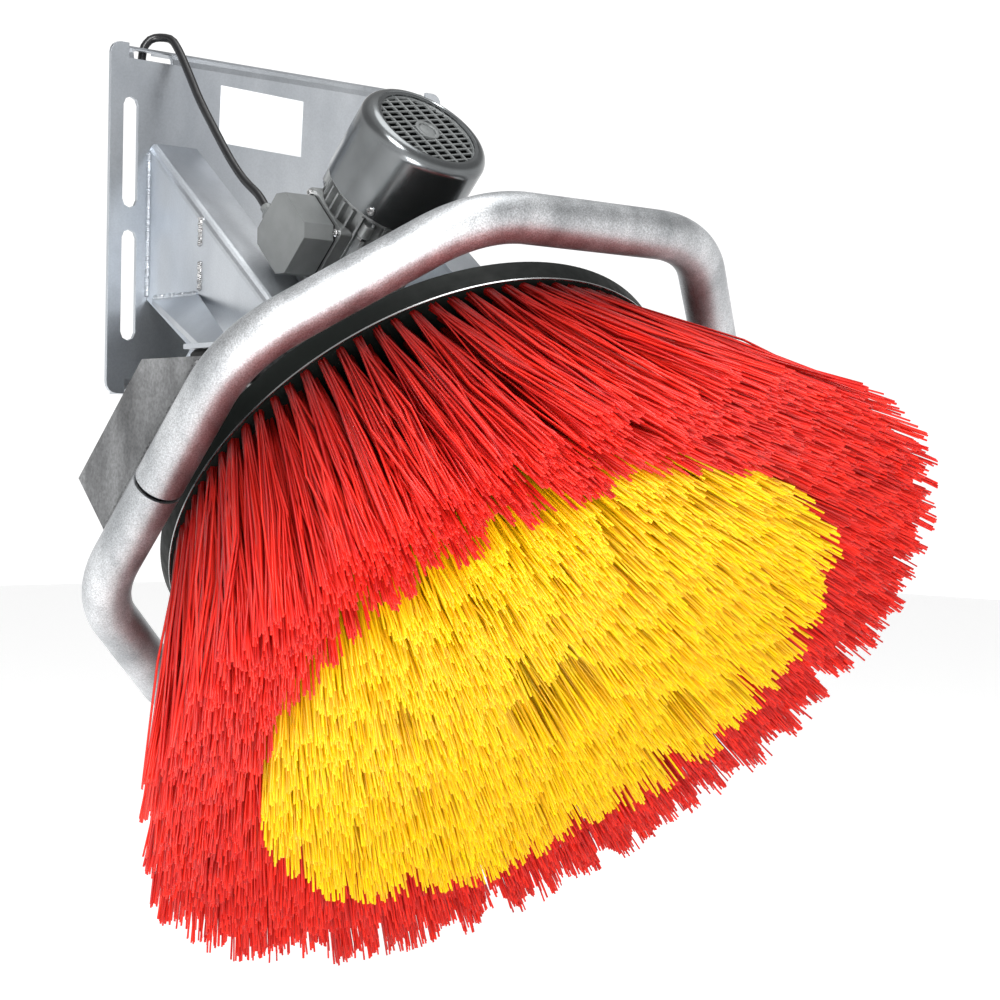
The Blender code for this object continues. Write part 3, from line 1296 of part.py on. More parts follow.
def terminal_box():
    lid_inner_face = LID_FACE - LID_DEPTH
    place = box_place(0)
    lid = slab("terminal_lid", [cut_corner_square(LID_SIDE, LID_CORNER_CUT)], lid_inner_face, LID_FACE)
    finish_piece(lid, "grey_plastic", head, place)
    hollow = slab(
        "lid_hollow", [cut_corner_square(LID_SIDE - 2 * LID_WALL, LID_CORNER_CUT)],
        lid_inner_face - OVERRUN, LID_FACE - LID_WALL,
    )
    boolean(lid, make_cutter(hollow, head, place))
    gasket_top = lid_inner_face - SEAT_GAP
    gasket_bottom = gasket_top - GASKET_THICKNESS
    opening = GASKET_OPENING / 2
    window = rectangle((-opening, -opening), (opening, opening))[::-1]
    gasket = slab(
        "terminal_gasket", [cut_corner_square(LID_SIDE, LID_CORNER_CUT), window], gasket_bottom, gasket_top
    )
    finish_piece(gasket, "black_rubber", head, place)
    half = BASE_SIDE / 2
    base = slab(
        "terminal_base", [rounded_rectangle((-half, -half), (half, half), BASE_CORNER)],
        BASE_INNER, gasket_bottom - SEAT_GAP,
    )
    finish_piece(base, "cast_aluminium", head, place)
    barrel = drum(
        "barrel_clearance", FIN_TIP_RADIUS + SEAT_GAP, MOTOR_HOUSING_START - OVERRUN * 2,
        COVER_START, FINE_STEPS,
    )
    boolean(base, make_cutter(barrel, motor))
    terminals = block(
        "terminal_block",
        (-TERMINAL_BLOCK_LENGTH / 2, -TERMINAL_BLOCK_WIDTH / 2, gasket_bottom),
        (TERMINAL_BLOCK_LENGTH / 2, TERMINAL_BLOCK_WIDTH / 2, gasket_bottom + TERMINAL_BLOCK_HEIGHT),
    )
    finish_piece(terminals, "black_plastic", head, place)


GLAND_START = LID_SIDE / 2 + SEAT_GAP
GLAND_END = GLAND_START + GLAND_BODY_LENGTH + GLAND_DOME_LENGTH + GLAND_TAIL_LENGTH


def cable_gland():
    """Gland on the lid's upper side: hexagon body, dome nut and soft bend-relief tail."""
    place = Matrix.Translation((-(LID_FACE - GLAND_FROM_LID_FACE), -GLAND_STATION, GEARBOX_STATION))
    body_end = GLAND_START + GLAND_BODY_LENGTH
    gland = hexagon("cable_gland", GLAND_ACROSS, GLAND_START, body_end)
    finish_piece(gland, "grey_plastic", head, place)
    dome_radius = GLAND_ACROSS / 2 - SEAT_GAP
    dome = turned(
        "gland_dome",
        [(0, GLAND_END), (GLAND_TAIL_RADIUS, GLAND_END), (GLAND_TAIL_RADIUS, GLAND_END - GLAND_TAIL_LENGTH),
         (dome_radius, body_end + GLAND_DOME_LENGTH / 2), (dome_radius, body_end - OVERRUN),
         (0, body_end - OVERRUN)],
        SMALL_STEPS,
    )
    boolean(gland, make_cutter(dome, head, place), "UNION")
    return gland


# Brush disc, hub and fasteners
def brush_disc():
    bore = OUTPUT_SHAFT_RADIUS + SEAT_GAP
    lip_inner = DISC_RADIUS - DISC_LIP_WIDTH
    profile = [
        (DISC_RADIUS, DISC_LIP_HEIGHT), (DISC_RADIUS, -DISC_THICKNESS + DISC_EDGE_CHAMFER),
        (DISC_RADIUS - DISC_EDGE_CHAMFER, -DISC_THICKNESS), (bore, -DISC_THICKNESS), (bore, 0), (lip_inner, 0),
        (lip_inner, DISC_LIP_HEIGHT),
    ]
    return finish_piece(turned("brush_disc", profile, FINE_STEPS), "black_plastic", brush)


def hub_flange():
    bore = OUTPUT_SHAFT_RADIUS + SEAT_GAP
    flange_top = SEAT_GAP + HUB_FLANGE_THICKNESS
    boss_top = SEAT_GAP + HUB_BOSS_LENGTH
    profile = [
        (HUB_BOSS_RADIUS, boss_top), (HUB_BOSS_RADIUS, flange_top + OVERRUN),
        (HUB_BOSS_RADIUS + OVERRUN, flange_top), (HUB_FLANGE_RADIUS, flange_top),
        (HUB_FLANGE_RADIUS, SEAT_GAP), (bore, SEAT_GAP), (bore, boss_top),
    ]
    return finish_piece(turned("hub_flange", profile), "bright_steel", brush)


def hub_bolts(disc, hub):
    """Bolts that clamp the disc to the hub, with their nuts on top."""
    for number in range(HUB_BOLT_COUNT):
        angle = math.tau * number / HUB_BOLT_COUNT
        place = Matrix.Translation((HUB_BOLT_CIRCLE * math.cos(angle), HUB_BOLT_CIRCLE * math.sin(angle), 0))
        top = SEAT_GAP + HUB_FLANGE_THICKNESS
        hole = drum(
            f"hub_bolt_hole_{number + 1}", HUB_BOLT_RADIUS + SEAT_GAP, -DISC_THICKNESS - OVERRUN,
            top + OVERRUN, SMALL_STEPS,
        )
        make_cutter(hole, brush, place)
        boolean(disc, hole)
        boolean(hub, hole)
        bolt(
            f"hub_bolt_{number + 1}", "bright_steel", HUB_BOLT_RADIUS, HUB_BOLT_ACROSS,
            -DISC_THICKNESS - SEAT_GAP, top + SEAT_GAP, HUB_NUT_HEIGHT, brush, place,
        )


def shaft_end_bolt():
    """Bolt and washer that hold the disc on the end of the shaft."""
    top = -DISC_THICKNESS - SEAT_GAP
    washer_bottom = top - SHAFT_END_WASHER_THICKNESS
    washer = turned("shaft_end_bolt", disc_profile(SHAFT_END_WASHER_RADIUS, top, washer_bottom))
    finish_piece(washer, "bright_steel", brush)
    head_start = washer_bottom - SHAFT_END_BOLT_ACROSS * BOLT_HEAD_SHARE
    head_end = (top + washer_bottom) / 2
    head_body = hexagon("shaft_end_bolt_head", SHAFT_END_BOLT_ACROSS, head_start, head_end)
    boolean(washer, make_cutter(head_body, brush), "UNION")


def bristles():
    """The two colours of bristle as two nested bodies: red outside, yellow inside round a hollow."""
    top = -DISC_THICKNESS - SEAT_GAP
    outer_bottom = -OUTER_TIP_DEPTH
    inner_bottom = -INNER_TIP_DEPTH
    half_gap = COLOUR_GAP / 2
    outer = [
        (OUTER_ROOT_RADIUS, top), (OUTER_TIP_RADIUS, outer_bottom + TIP_ROUNDING),
        (OUTER_TIP_RADIUS - TIP_ROUNDING, outer_bottom), (COLOUR_TIP_RADIUS + half_gap, outer_bottom),
        (COLOUR_ROOT_RADIUS + half_gap, top),
    ]
    inner = [
        (COLOUR_ROOT_RADIUS - half_gap, top), (COLOUR_TIP_RADIUS - half_gap, outer_bottom),
        (COLOUR_TIP_RADIUS - TIP_ROUNDING, inner_bottom), (HOLLOW_TIP_RADIUS + TIP_ROUNDING, inner_bottom),
        (HOLLOW_TIP_RADIUS, inner_bottom + TIP_ROUNDING), (HOLLOW_ROOT_RADIUS, top),
    ]
    finish_piece(turned("outer_bristles", outer, FINE_STEPS), "red_bristle", brush)
    finish_piece(turned("inner_bristles", inner, FINE_STEPS), "yellow_bristle", brush)


# Mains lead: route points in the wall frame, chosen by hand, from the gland to the coil
def lead_route():
    gland_x = -(LID_FACE - GLAND_FROM_LID_FACE)
    exit_station = GEARBOX_STATION + GLAND_END + SEAT_GAP
    exit_y, exit_z = head_point(-GLAND_STATION, exit_station)
    coil_x = COIL_CENTRE_X - COIL_RADIUS
    coil_top = COIL_CENTRE_Z + COIL_ENTRY
    return [
        (gland_x, exit_y, exit_z),
        (gland_x, exit_y + LEAD_START_RUN, exit_z + LEAD_START_RUN),
        (-0.1366, -0.152, 0.0282),
        (-0.1368, -0.125, 0.0583),
        (-0.1397, -0.100, 0.0925),
        (-0.1437, -0.076, 0.1270),
        (-0.1451, -0.058, 0.1548),
        (-0.1460, -0.046, 0.1730),
        (-0.1468, -0.034, 0.1889),
        (-0.1486, -0.023, 0.1987),
        (-0.1593, -0.0100, 0.2000),
        (-0.1680, -0.0067, 0.1930),
        (-0.1730, -0.0065, 0.1780),
        (-0.1730, -0.0075, 0.1350),
        (-0.1640, -0.0090, 0.0800),
        (-0.1480, -0.0100, 0.0250),
        (-0.1290, COIL_CENTRE_Y, -0.0250),
        (-0.1150, COIL_CENTRE_Y, -0.0620),
        (coil_x, COIL_CENTRE_Y, coil_top),
    ]


def smooth_path(points, spacing):
    """Points along one smooth curve through the given ones, about a spacing apart."""
    places = [Vector(p) for p in points]
    padded = [2 * places[0] - places[1]] + places + [2 * places[-1] - places[-2]]
    result = [places[0]]
    for p0, p1, p2, p3 in zip(padded, padded[1:], padded[2:], padded[3:]):
        steps = max(1, round((p2 - p1).length / spacing))
        for i in range(1, steps + 1):
            t = i / steps
            result.append(
                0.5 * (2 * p1 + (p2 - p0) * t + (2 * p0 - 5 * p1 + 4 * p2 - p3) * t**2
                       + (3 * p1 - p0 - 3 * p2 + p3) * t**3)
            )
    return result


def mains_lead():
    path = smooth_path(lead_route(), LEAD_POINT_SPACING)
    finish_piece(rod_along("mains_cable", path, LEAD_RADIUS, LEAD_BEVEL_RESOLUTION), "lead_jacket")
    half = COIL_SECTION / 2
    coil_place = Matrix.Translation((COIL_CENTRE_X, COIL_CENTRE_Y, COIL_CENTRE_Z)) @ FRONT_ON
    coil = turned("cable_coil", ring_profile(COIL_RADIUS + half, COIL_RADIUS - half, half, -half))
    finish_piece(coil, "lead_jacket", None, coil_place)
    inner, outer = half + SEAT_GAP, half + SEAT_GAP + TIE_BAND
    opening = rectangle((-inner, -inner), (inner, inner))[::-1]
    tie = slab("cable_tie", [rectangle((-outer, -outer), (outer, outer)), opening], -TIE_WIDTH / 2, TIE_WIDTH / 2)
    finish_piece(
        tie, "black_plastic", None,
        Matrix.Translation((COIL_CENTRE_X + COIL_RADIUS, COIL_CENTRE_Y, COIL_CENTRE_Z)),
    )
    tail_start = TAIL_ENTRY
    tail = turned(
        "cable_end",
        [(0, tail_start + TAIL_JACKET_LENGTH + TAIL_CORE_LENGTH),
         (TAIL_CORE_RADIUS, tail_start + TAIL_JACKET_LENGTH + TAIL_CORE_LENGTH),
         (TAIL_CORE_RADIUS, tail_start + TAIL_JACKET_LENGTH), (LEAD_RADIUS, tail_start + TAIL_JACKET_LENGTH),
         (LEAD_RADIUS, tail_start), (0, tail_start)],
        SMALL_STEPS,
    )
    along_x = Matrix.Rotation(QUARTER_TURN, 4, "Y")
    drop = COIL_RADIUS + half - LEAD_RADIUS
    finish_piece(
        tail, "lead_jacket", None,
        Matrix.Translation((COIL_CENTRE_X, COIL_CENTRE_Y + LEAD_RADIUS, COIL_CENTRE_Z - drop)) @ along_x,
    )


# Assembly
def build():
    wall_plate()
    arm("left_arm", -1)
    arm("right_arm", 1)
    beam = ring_beam()
    for label, side in (("left", -1), ("right", 1)):
        buffer_set(label, side, outrigger(label + "_outrigger", side), beam)
    saddle = saddle_cutter()
    cheek("left_cheek", -1, saddle)
    cheek("right_cheek", 1, saddle)
    half_gap = RING_SPLIT_GAP / 2
    guard_ring_half("guard_ring_upper", -1, -RING_SPLIT_OFFSET + half_gap)
    guard_ring_half("guard_ring_lower", 1, RING_SPLIT_OFFSET + half_gap)
    cradle_piece = cradle()
    housing = gear_housing()
    cradle_bolts(cradle_piece, housing)
    gear_cover()
    shaft_bore = OUTPUT_SHAFT_RADIUS + SEAT_GAP
    bearing(
        "output_bearing_lower", shaft_bore, OUTPUT_BEARING_RADIUS, OUTPUT_BEARING_WIDTH - SEAT_GAP,
        LOWER_BEARING_BOTTOM + SEAT_GAP / 2, head,
    )
    bearing(
        "output_bearing_upper", shaft_bore, OUTPUT_BEARING_RADIUS, OUTPUT_BEARING_WIDTH,
        UPPER_BEARING_BOTTOM, head,
    )
    output_seal()
    worm_bore = WORM_COLLAR_RADIUS + SEAT_GAP
    bearing(
        "worm_bearing_far", worm_bore, WORM_BEARING_RADIUS, WORM_BEARING_WIDTH,
        -WORM_BEARING_STATION - SEAT_GAP - WORM_BEARING_WIDTH, motor,
    )
    bearing(
        "worm_bearing_input", worm_bore, WORM_BEARING_RADIUS, WORM_BEARING_WIDTH,
        WORM_BEARING_STATION + SEAT_GAP, motor,
    )
    worm_end_cap()
    wheel = worm_wheel()
    worm_shaft()
    shaft_key(output_shaft(), wheel)
    motor_flange()
    motor_housing()
    stator_core()
    rotor_core()
    motor_shaft()
    journal_bore = MOTOR_JOURNAL_RADIUS + SEAT_GAP
    bearing(
        "motor_bearing_drive", journal_bore, MOTOR_BEARING_RADIUS, MOTOR_BEARING_WIDTH - SEAT_GAP,
        MOTOR_HOUSING_START - SEAT_GAP - MOTOR_BEARING_WIDTH, motor,
    )
    bearing(
        "motor_bearing_fan", journal_bore, MOTOR_BEARING_RADIUS, MOTOR_BEARING_WIDTH - SEAT_GAP,
        FAN_END_BEARING_START + SEAT_GAP, motor,
    )
    fan_end_shield()
    motor_fan()
    fan_cover()
    fan_grille()
    terminal_box()
    cable_gland()
    disc = brush_disc()
    hub = hub_flange()
    hub_bolts(disc, hub)
    shaft_end_bolt()
    bristles()
    mains_lead()
    weld_cut_pieces()
    bpy.context.view_layer.update()


build()
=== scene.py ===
import json
import math
import random

import bmesh
import bpy
from mathutils import Matrix, Vector


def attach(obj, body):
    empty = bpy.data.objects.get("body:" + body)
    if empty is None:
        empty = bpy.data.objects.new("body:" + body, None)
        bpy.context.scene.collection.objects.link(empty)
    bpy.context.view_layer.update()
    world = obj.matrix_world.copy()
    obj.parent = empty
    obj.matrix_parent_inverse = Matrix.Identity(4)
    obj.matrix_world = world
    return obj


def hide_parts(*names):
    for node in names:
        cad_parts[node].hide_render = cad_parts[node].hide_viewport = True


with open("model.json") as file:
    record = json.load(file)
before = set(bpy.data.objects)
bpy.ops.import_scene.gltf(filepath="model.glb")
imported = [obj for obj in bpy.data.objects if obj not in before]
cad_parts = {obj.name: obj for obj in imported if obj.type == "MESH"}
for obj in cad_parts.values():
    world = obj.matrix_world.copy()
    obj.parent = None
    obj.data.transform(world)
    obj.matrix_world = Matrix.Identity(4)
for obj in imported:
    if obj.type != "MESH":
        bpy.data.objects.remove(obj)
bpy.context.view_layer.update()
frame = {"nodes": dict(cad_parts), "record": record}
nodes = frame["nodes"]
random.seed(7)

# Sizes shared with the solid part, in metres
RADIUS_TUBE, BORE_TUBE, BORE_DEPTH = 0.02405, 0.0211, 0.05
RING_DROP, SPLIT, SPLIT_GAP = 0.014, 0.009, 0.005
RING_HALF_WIDTH, RING_HALF_HEIGHT, RING_SIDE_HALF, RING_END_HALF, RING_BEND = 0.318, 0.345, 0.164, 0.140, 0.130
DISC_R, DISC_T = 0.285, 0.022
SHAFT_R = 0.0153
LEAD_R = 0.0045
COIL = Vector((-0.060, -0.0092, -0.12235))
GALV, TUBE, ZINC = "galvanised_sheet", "galvanised_tube", "dull_zinc"
HEAD_PLACE, GEARBOX_HEIGHT, MOTOR_SIDE = (0, -0.280, -0.263), 0.195, -0.050
HEAD = Matrix.Translation(HEAD_PLACE) @ Matrix.Rotation(math.radians(-45), 4, "X")
MOTOR = HEAD @ Matrix.Translation((MOTOR_SIDE, 0, GEARBOX_HEIGHT)) @ Matrix.Rotation(math.radians(90), 4, "X")
SHARP_ANGLE = math.radians(40)


# Materials
class Look:
    """A Principled material and short ways to add procedural texture to it."""

    def __init__(self, name, colour, rough, metal=0.0):
        self.mat = bpy.data.materials.new(name)
        self.mat.use_nodes = True
        self.tree = self.mat.node_tree
        self.bsdf = self.tree.nodes["Principled BSDF"]
        self.bsdf.inputs["Base Color"].default_value = (*colour, 1)
        self.bsdf.inputs["Roughness"].default_value = rough
        self.bsdf.inputs["Metallic"].default_value = metal
        self.coords = self.tree.nodes.new("ShaderNodeTexCoord").outputs["Object"]

    def put(self, socket, output):
        self.tree.links.new(output, self.bsdf.inputs[socket])

    def node(self, kind, links=(), **values):
        made = self.tree.nodes.new("ShaderNode" + kind)
        for key, value in values.items():
            setattr(made, key, value)
        for socket, source in links:
            if hasattr(source, "links"):
                self.tree.links.new(source, made.inputs[socket])
            else:
                made.inputs[socket].default_value = source
        return made

    def noise(self, scale, detail=4.0, stretch=(1, 1, 1)):
        place = self.node("Mapping", [("Vector", self.coords), ("Scale", stretch)])
        links = [("Vector", place.outputs[0]), ("Scale", scale), ("Detail", detail)]
        return self.node("TexNoise", links).outputs[0]

    def ramp(self, source, low, high, start=0.35, end=0.65):
        made = self.node("ValToRGB", [("Fac", source)])
        made.color_ramp.elements[0].position, made.color_ramp.elements[1].position = start, end
        made.color_ramp.elements[0].color = (*low, 1)
        made.color_ramp.elements[1].color = (*high, 1)
        return made.outputs[0]

    def span(self, source, low, high, start=0.3, end=0.7):
        return self.node(
            "MapRange", [("Value", source), (1, start), (2, end), (3, low), (4, high)]
        ).outputs[0]

    def mix(self, factor, a, b, blend="MIX"):
        made = self.node("MixRGB", [("Fac", factor), (1, a), (2, b)], blend_type=blend)
        return made.outputs[0]

    def normal(self, height, strength, distance=0.001, edge=0.0):
        links = [("Strength", strength), ("Distance", distance), ("Height", height)]
        if edge:
            links.append(("Normal", self.node("Bevel", [("Radius", edge)], samples=4).outputs[0]))
        self.put("Normal", self.node("Bump", links).outputs[0])

    def grey(self, value):
        return self.node("CombineColor", [(0, value), (1, value), (2, value)]).outputs[0]


def galvanised(name, dark, light, rough, grain, cloud, speckle, bump, edge):
    """Zinc skin: soft clouds drawn out along Z, and a fine speckle over them."""
    look = Look(name, light, rough[0], 1.0)
    clouds = look.noise(cloud, 6.0, (1.0, 1.0, 0.45))
    base = look.ramp(clouds, dark, light, 0.34, 0.66)
    fine = look.noise(grain, 3.0)
    tone = look.span(fine, 1.0 - speckle, 1.0 + speckle, 0.34, 0.66)
    look.put("Base Color", look.mix(1.0, base, look.grey(tone), "MULTIPLY"))
    both = look.node("Math", [(0, fine), (1, clouds)], operation="ADD").outputs[0]
    look.put("Roughness", look.span(both, rough[0], rough[1], 0.7, 1.3))
    look.normal(look.noise(grain * 0.8, 2.0), bump, 0.001, edge)
    return look.mat


def plain(name, colour, rough, metal=0.0, grain=260.0, bump=0.08, vary=0.12, edge=0.0, specular=0.5):
    look = Look(name, colour, rough, metal)
    look.bsdf.inputs["Specular IOR Level"].default_value = specular
    low = tuple(c * (1 - vary) for c in colour)
    high = tuple(min(1, c * (1 + vary)) for c in colour)
    look.put("Base Color", look.ramp(look.noise(28.0, 5.0), low, high))
    look.put("Roughness", look.span(look.noise(75.0), rough * 0.85, min(1, rough * 1.2)))
    look.normal(look.noise(grain, 2.0), bump, 0.0006, edge)
    return look.mat


def bristle_look(name, colour, shade):
    """Glossy extruded bristle: each has its own tone, and painted shade darkens it towards its root."""
    look = Look(name, colour, 0.36)
    tone = look.node("Attribute", attribute_name="tone")
    split = look.node("SeparateColor", [("Color", tone.outputs["Color"])])
    own = look.mix(split.outputs[0], (*shade, 1), (*colour, 1))
    # Painted shade: the tone attribute's second channel darkens each strand towards its root, where the tufts
    # shade each other
    look.put("Base Color", look.mix(split.outputs[1], tuple(c * 0.28 for c in shade) + (1,), own))
    look.bsdf.inputs["Specular IOR Level"].default_value = 0.35
    return look.mat


LOOKS = {
    GALV: galvanised(
        GALV, (0.35, 0.375, 0.41), (0.72, 0.75, 0.78), (0.31, 0.47),
        520.0, 5.0, 0.05, 0.025, 0.0006,
    ),
    TUBE: galvanised(
        TUBE, (0.36, 0.375, 0.39), (0.68, 0.695, 0.71), (0.38, 0.56),
        700.0, 18.0, 0.26, 0.12, 0.0,
    ),
    ZINC: galvanised(
        ZINC, (0.13, 0.132, 0.135), (0.34, 0.345, 0.35), (0.36, 0.60),
        320.0, 22.0, 0.22, 0.30, 0.0010,
    ),
    "cast_aluminium": plain("cast_aluminium", (0.36, 0.37, 0.37), 0.40, 0.85, 520.0, 0.12, 0.2, 0.0010),
    "steel_cover": plain("steel_cover", (0.18, 0.19, 0.195), 0.20, 0.95, 420.0, 0.015, 0.10),
    "bright_steel": plain("bright_steel", (0.55, 0.55, 0.55), 0.25, 1.0),
    "bronze": plain("bronze", (0.62, 0.40, 0.17), 0.3, 1.0),
    "copper_winding": plain("copper_winding", (0.52, 0.22, 0.09), 0.4, 0.9),
    "black_rubber": plain("black_rubber", (0.008, 0.008, 0.008), 0.72, 0.0, 380.0, 0.15),
    "black_plastic": plain("black_plastic", (0.006, 0.008, 0.007), 0.55, 0.0, 200.0, 0.05, 0.12, 0.0, 0.18),
    "grey_plastic": plain("grey_plastic", (0.19, 0.20, 0.20), 0.42, 0.35, 420.0, 0.10, 0.10, 0.0012),
    "lead_jacket": plain("lead_jacket", (0.006, 0.006, 0.007), 0.30, 0.0, 300.0, 0.04),
    # Each bristle colour pairs with a darker one: the dark end of each strand's random tone, and the base of
    # its painted root shade
    "red_bristle": bristle_look("red_bristle", (0.90, 0.026, 0.012), (0.48, 0.008, 0.008)),
    "yellow_bristle": bristle_look("yellow_bristle", (1.0, 0.70, 0.0), (0.95, 0.48, 0.0)),
}
SLOTS = {entry["node"]: entry["material_slot"] for entry in frame["record"]["subparts"]}
for name, obj in nodes.items():
    obj.data.materials.clear()
    obj.data.materials.append(LOOKS[SLOTS[name]])


# Mesh helpers
def make(name, vertices, faces, slot, body, matrix=None, smooth=True, replaced=()):
    """A new mesh piece: its material, the body it rides on and the solid pieces that it stands for."""
    mesh = bpy.data.meshes.new(name)
    mesh.from_pydata([tuple(v) for v in vertices], [], faces)
    if matrix is not None:
        mesh.transform(matrix)
    mesh.validate()
    mesh.update()
    if smooth:
        mesh.shade_smooth()
        mesh.set_sharp_from_angle(angle=SHARP_ANGLE)
    obj = bpy.data.objects.new(name, mesh)
    bpy.context.scene.collection.objects.link(obj)
    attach(obj, body)
    if slot:
        mesh.materials.append(LOOKS[slot])
    if replaced:
        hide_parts(*replaced)
    return obj


def lathe(name, profile, steps, slot, body, matrix, replaced=()):
    """A closed profile of (radius, height) turned about Z."""
    vertices, faces = [], []
    count = len(profile)
    for i in range(steps):
        angle = math.tau * i / steps
        vertices += [(r * math.cos(angle), r * math.sin(angle), z) for r, z in profile]
    for i in range(steps):
        j = (i + 1) % steps
        for k in range(count):
            n = (k + 1) % count
            faces.append((i * count + k, j * count + k, j * count + n, i * count + n))
    obj = make(name, vertices, faces, slot, body, matrix, True, replaced)
    fix_normals(obj)
    return obj


def fix_normals(obj):
    work = bmesh.new()
    work.from_mesh(obj.data)
    bmesh.ops.remove_doubles(work, verts=work.verts, dist=1e-7)
    bmesh.ops.recalc_face_normals(work, faces=work.faces)
    work.to_mesh(obj.data)
    work.free()


def frames_along(path):
    """Rotation-minimising side vectors along a path."""
    points = [Vector(p) for p in path]
    ways = []
    for i, _ in enumerate(points):
        ways.append((points[min(i + 1, len(points) - 1)] - points[max(i - 1, 0)]).normalized())
    side = ways[0].orthogonal().normalized()
    result = []
    for point, way in zip(points, ways):
        side = (side - way * side.dot(way)).normalized()
        result.append((point, side, way.cross(side)))
    return result


def sweep(name, path, radius, around, slot, body, matrix=None, replaced=(), bore=None):
    """A tube along a path; radius is a number or one for each point; bore hollows both ends."""
    rings = frames_along(path)
    radii = radius if isinstance(radius, list) else [radius] * len(rings)
    vertices, faces = [], []

    def ring(point, side, up, r):
        start = len(vertices)
        for k in range(around):
            a = math.tau * k / around
            vertices.append(point + side * (r * math.cos(a)) + up * (r * math.sin(a)))
        return start

    def join(a, b):
        for k in range(around):
            n = (k + 1) % around
            faces.append((a + k, a + n, b + n, b + k))

    starts = [ring(*place, r) for place, r in zip(rings, radii)]
    for a, b in zip(starts, starts[1:]):
        join(a, b)
    for end, last in ((0, starts[0]), (-1, starts[-1])):
        place = rings[end]
        if bore:
            inner = ring(*place, bore[0])
            way = (rings[1][0] - rings[0][0] if end == 0 else rings[-2][0] - rings[-1][0]).normalized()
            deep = ring(place[0] + way * bore[1], place[1], place[2], bore[0])
            join(last, inner)
            join(inner, deep)
            last = deep
        faces.append(tuple(range(last, last + around)))
    obj = make(name, vertices, faces, slot, body, matrix, True, replaced)
    fix_normals(obj)
    return obj


def fillet_path(points, radius, steps):
    """A path with its corners rounded."""
    pts = [Vector(p) for p in points]
    out = [pts[0]]
    for a, b, c in zip(pts, pts[1:], pts[2:]):
        u, w = (b - a).normalized(), (c - b).normalized()
        turn = u.angle(w)
        back = radius * math.tan(turn / 2)
        start, end = b - u * back, b + w * back
        centre = start + (w - u * w.dot(u)).normalized() * radius
        for i in range(steps + 1):
            t = turn * i / steps
            out.append(centre + (start - centre) * math.cos(t) + u * (radius * math.sin(t)))
    out.append(pts[-1])
    return out


def spline(points, spacing):
    """Points along one smooth curve through the given ones."""
    p = [Vector(q) for q in points]
    p = [2 * p[0] - p[1]] + p + [2 * p[-1] - p[-2]]
    out = [p[1]]
    for a, b, c, d in zip(p, p[1:], p[2:], p[3:]):
        steps = max(1, round((c - b).length / spacing))
        for i in range(1, steps + 1):
            t = i / steps
            square, cube = 2 * a - 5 * b + 4 * c - d, 3 * b - a - 3 * c + d
            out.append(0.5 * (2 * b + (c - a) * t + square * t**2 + cube * t**3))
    return out


# Guard ring, smooth and hollow ended
def ring_half(name, direction, split):
    half = [(RING_HALF_WIDTH, split), (RING_HALF_WIDTH, RING_SIDE_HALF), (RING_END_HALF, RING_HALF_HEIGHT)]
    corners = half + [(-x, y) for x, y in reversed(half)]
    path = fillet_path([(x, direction * y, -RING_DROP) for x, y in corners], RING_BEND, 20)
    sweep(name + "_tube", path, RADIUS_TUBE, 72, TUBE, "bracket", HEAD, (name,), (BORE_TUBE, BORE_DEPTH))


ring_half("guard_ring_upper", -1, -SPLIT + SPLIT_GAP / 2)
ring_half("guard_ring_lower", 1, SPLIT + SPLIT_GAP / 2)


# Brush disc, with a bright trim on its lower edge
def rounded(profile, radius, steps=4):
    """Rounds each corner of a closed (radius, height) profile."""
    out = []
    count = len(profile)
    for i in range(count):
        a, b, c = (Vector(profile[(i + k) % count]) for k in (-1, 0, 1))
        size = min(radius, (a - b).length * 0.45, (c - b).length * 0.45)
        start, end = b + (a - b).normalized() * size, b + (c - b).normalized() * size
        for k in range(steps + 1):
            t = k / steps
            out.append(tuple(start * (1 - t) ** 2 + b * (2 * t * (1 - t)) + end * t**2))
    return out


RIM, LIP = 0.003, 0.004
disc = [
    (DISC_R, RIM), (DISC_R, -DISC_T), (SHAFT_R, -DISC_T), (SHAFT_R, 0), (DISC_R - LIP, 0), (DISC_R - LIP, RIM)
]
lathe("brush_disc_smooth", rounded(disc, 0.0012), 192, "black_plastic", "brush", HEAD, ("brush_disc",))

TRIM_OUT, TRIM_IN, TRIM_TOP, TRIM_BOTTOM = 0.0003, 0.0012, -0.0207, -0.0223
line = [
    (DISC_R + TRIM_OUT, TRIM_TOP), (DISC_R + TRIM_OUT, TRIM_BOTTOM),
    (DISC_R - TRIM_IN, TRIM_BOTTOM), (DISC_R - TRIM_IN, TRIM_TOP),
]
lathe("disc_edge_trim", line, 192, "bright_steel", "brush", HEAD)

# Fan cover, drive end shield and hub: each a closed (radius, height) profile
BEND_R, BEND_Z = 0.055, 0.276


def cover_bend(radius, angles):
    turns = [math.radians(d) for d in angles]
    return [(BEND_R + radius * math.sin(a), BEND_Z + radius * math.cos(a)) for a in turns]


cover = (
    [(0.0525, 0.2865), (0.0525, 0.2885), (0.0565, 0.2889)] + cover_bend(0.014, range(8, 91, 6))
    + [(0.069, 0.204), (0.0675, 0.204)] + cover_bend(0.0125, range(90, 7, -6)) + [(0.0565, 0.2870)]
)
lathe("fan_cover_smooth", cover, 128, "steel_cover", "bracket", MOTOR, ("fan_cover",))
flange = [
    (0.060, 0.0957), (0.060, 0.0847), (0.0445, 0.0713), (0.0445, 0.0603),
    (0.0135, 0.0603), (0.0135, 0.0845), (0.0178, 0.0845), (0.0178, 0.0957),
]
lathe("motor_flange_smooth", rounded(flange, 0.0015), 96, "cast_aluminium", "bracket", MOTOR, ("motor_flange",))
hub = [
    (0.023, 0.1343), (0.023, 0.0123), (0.025, 0.0103), (0.050, 0.0103),
    (0.050, 0.0003), (SHAFT_R, 0.0003), (SHAFT_R, 0.1343),
]
lathe("disc_shaft_sleeve", rounded(hub, 0.001), 96, "bright_steel", "brush", HEAD, ("hub_flange",))


# Welds: rippled beads, and two plug welds in each arm
RIPPLE, UNEVEN = 0.13, 0.09
ARM_FACE, PLUG_FACE, PLUG_Y = 0.1773, 0.1762, -0.132


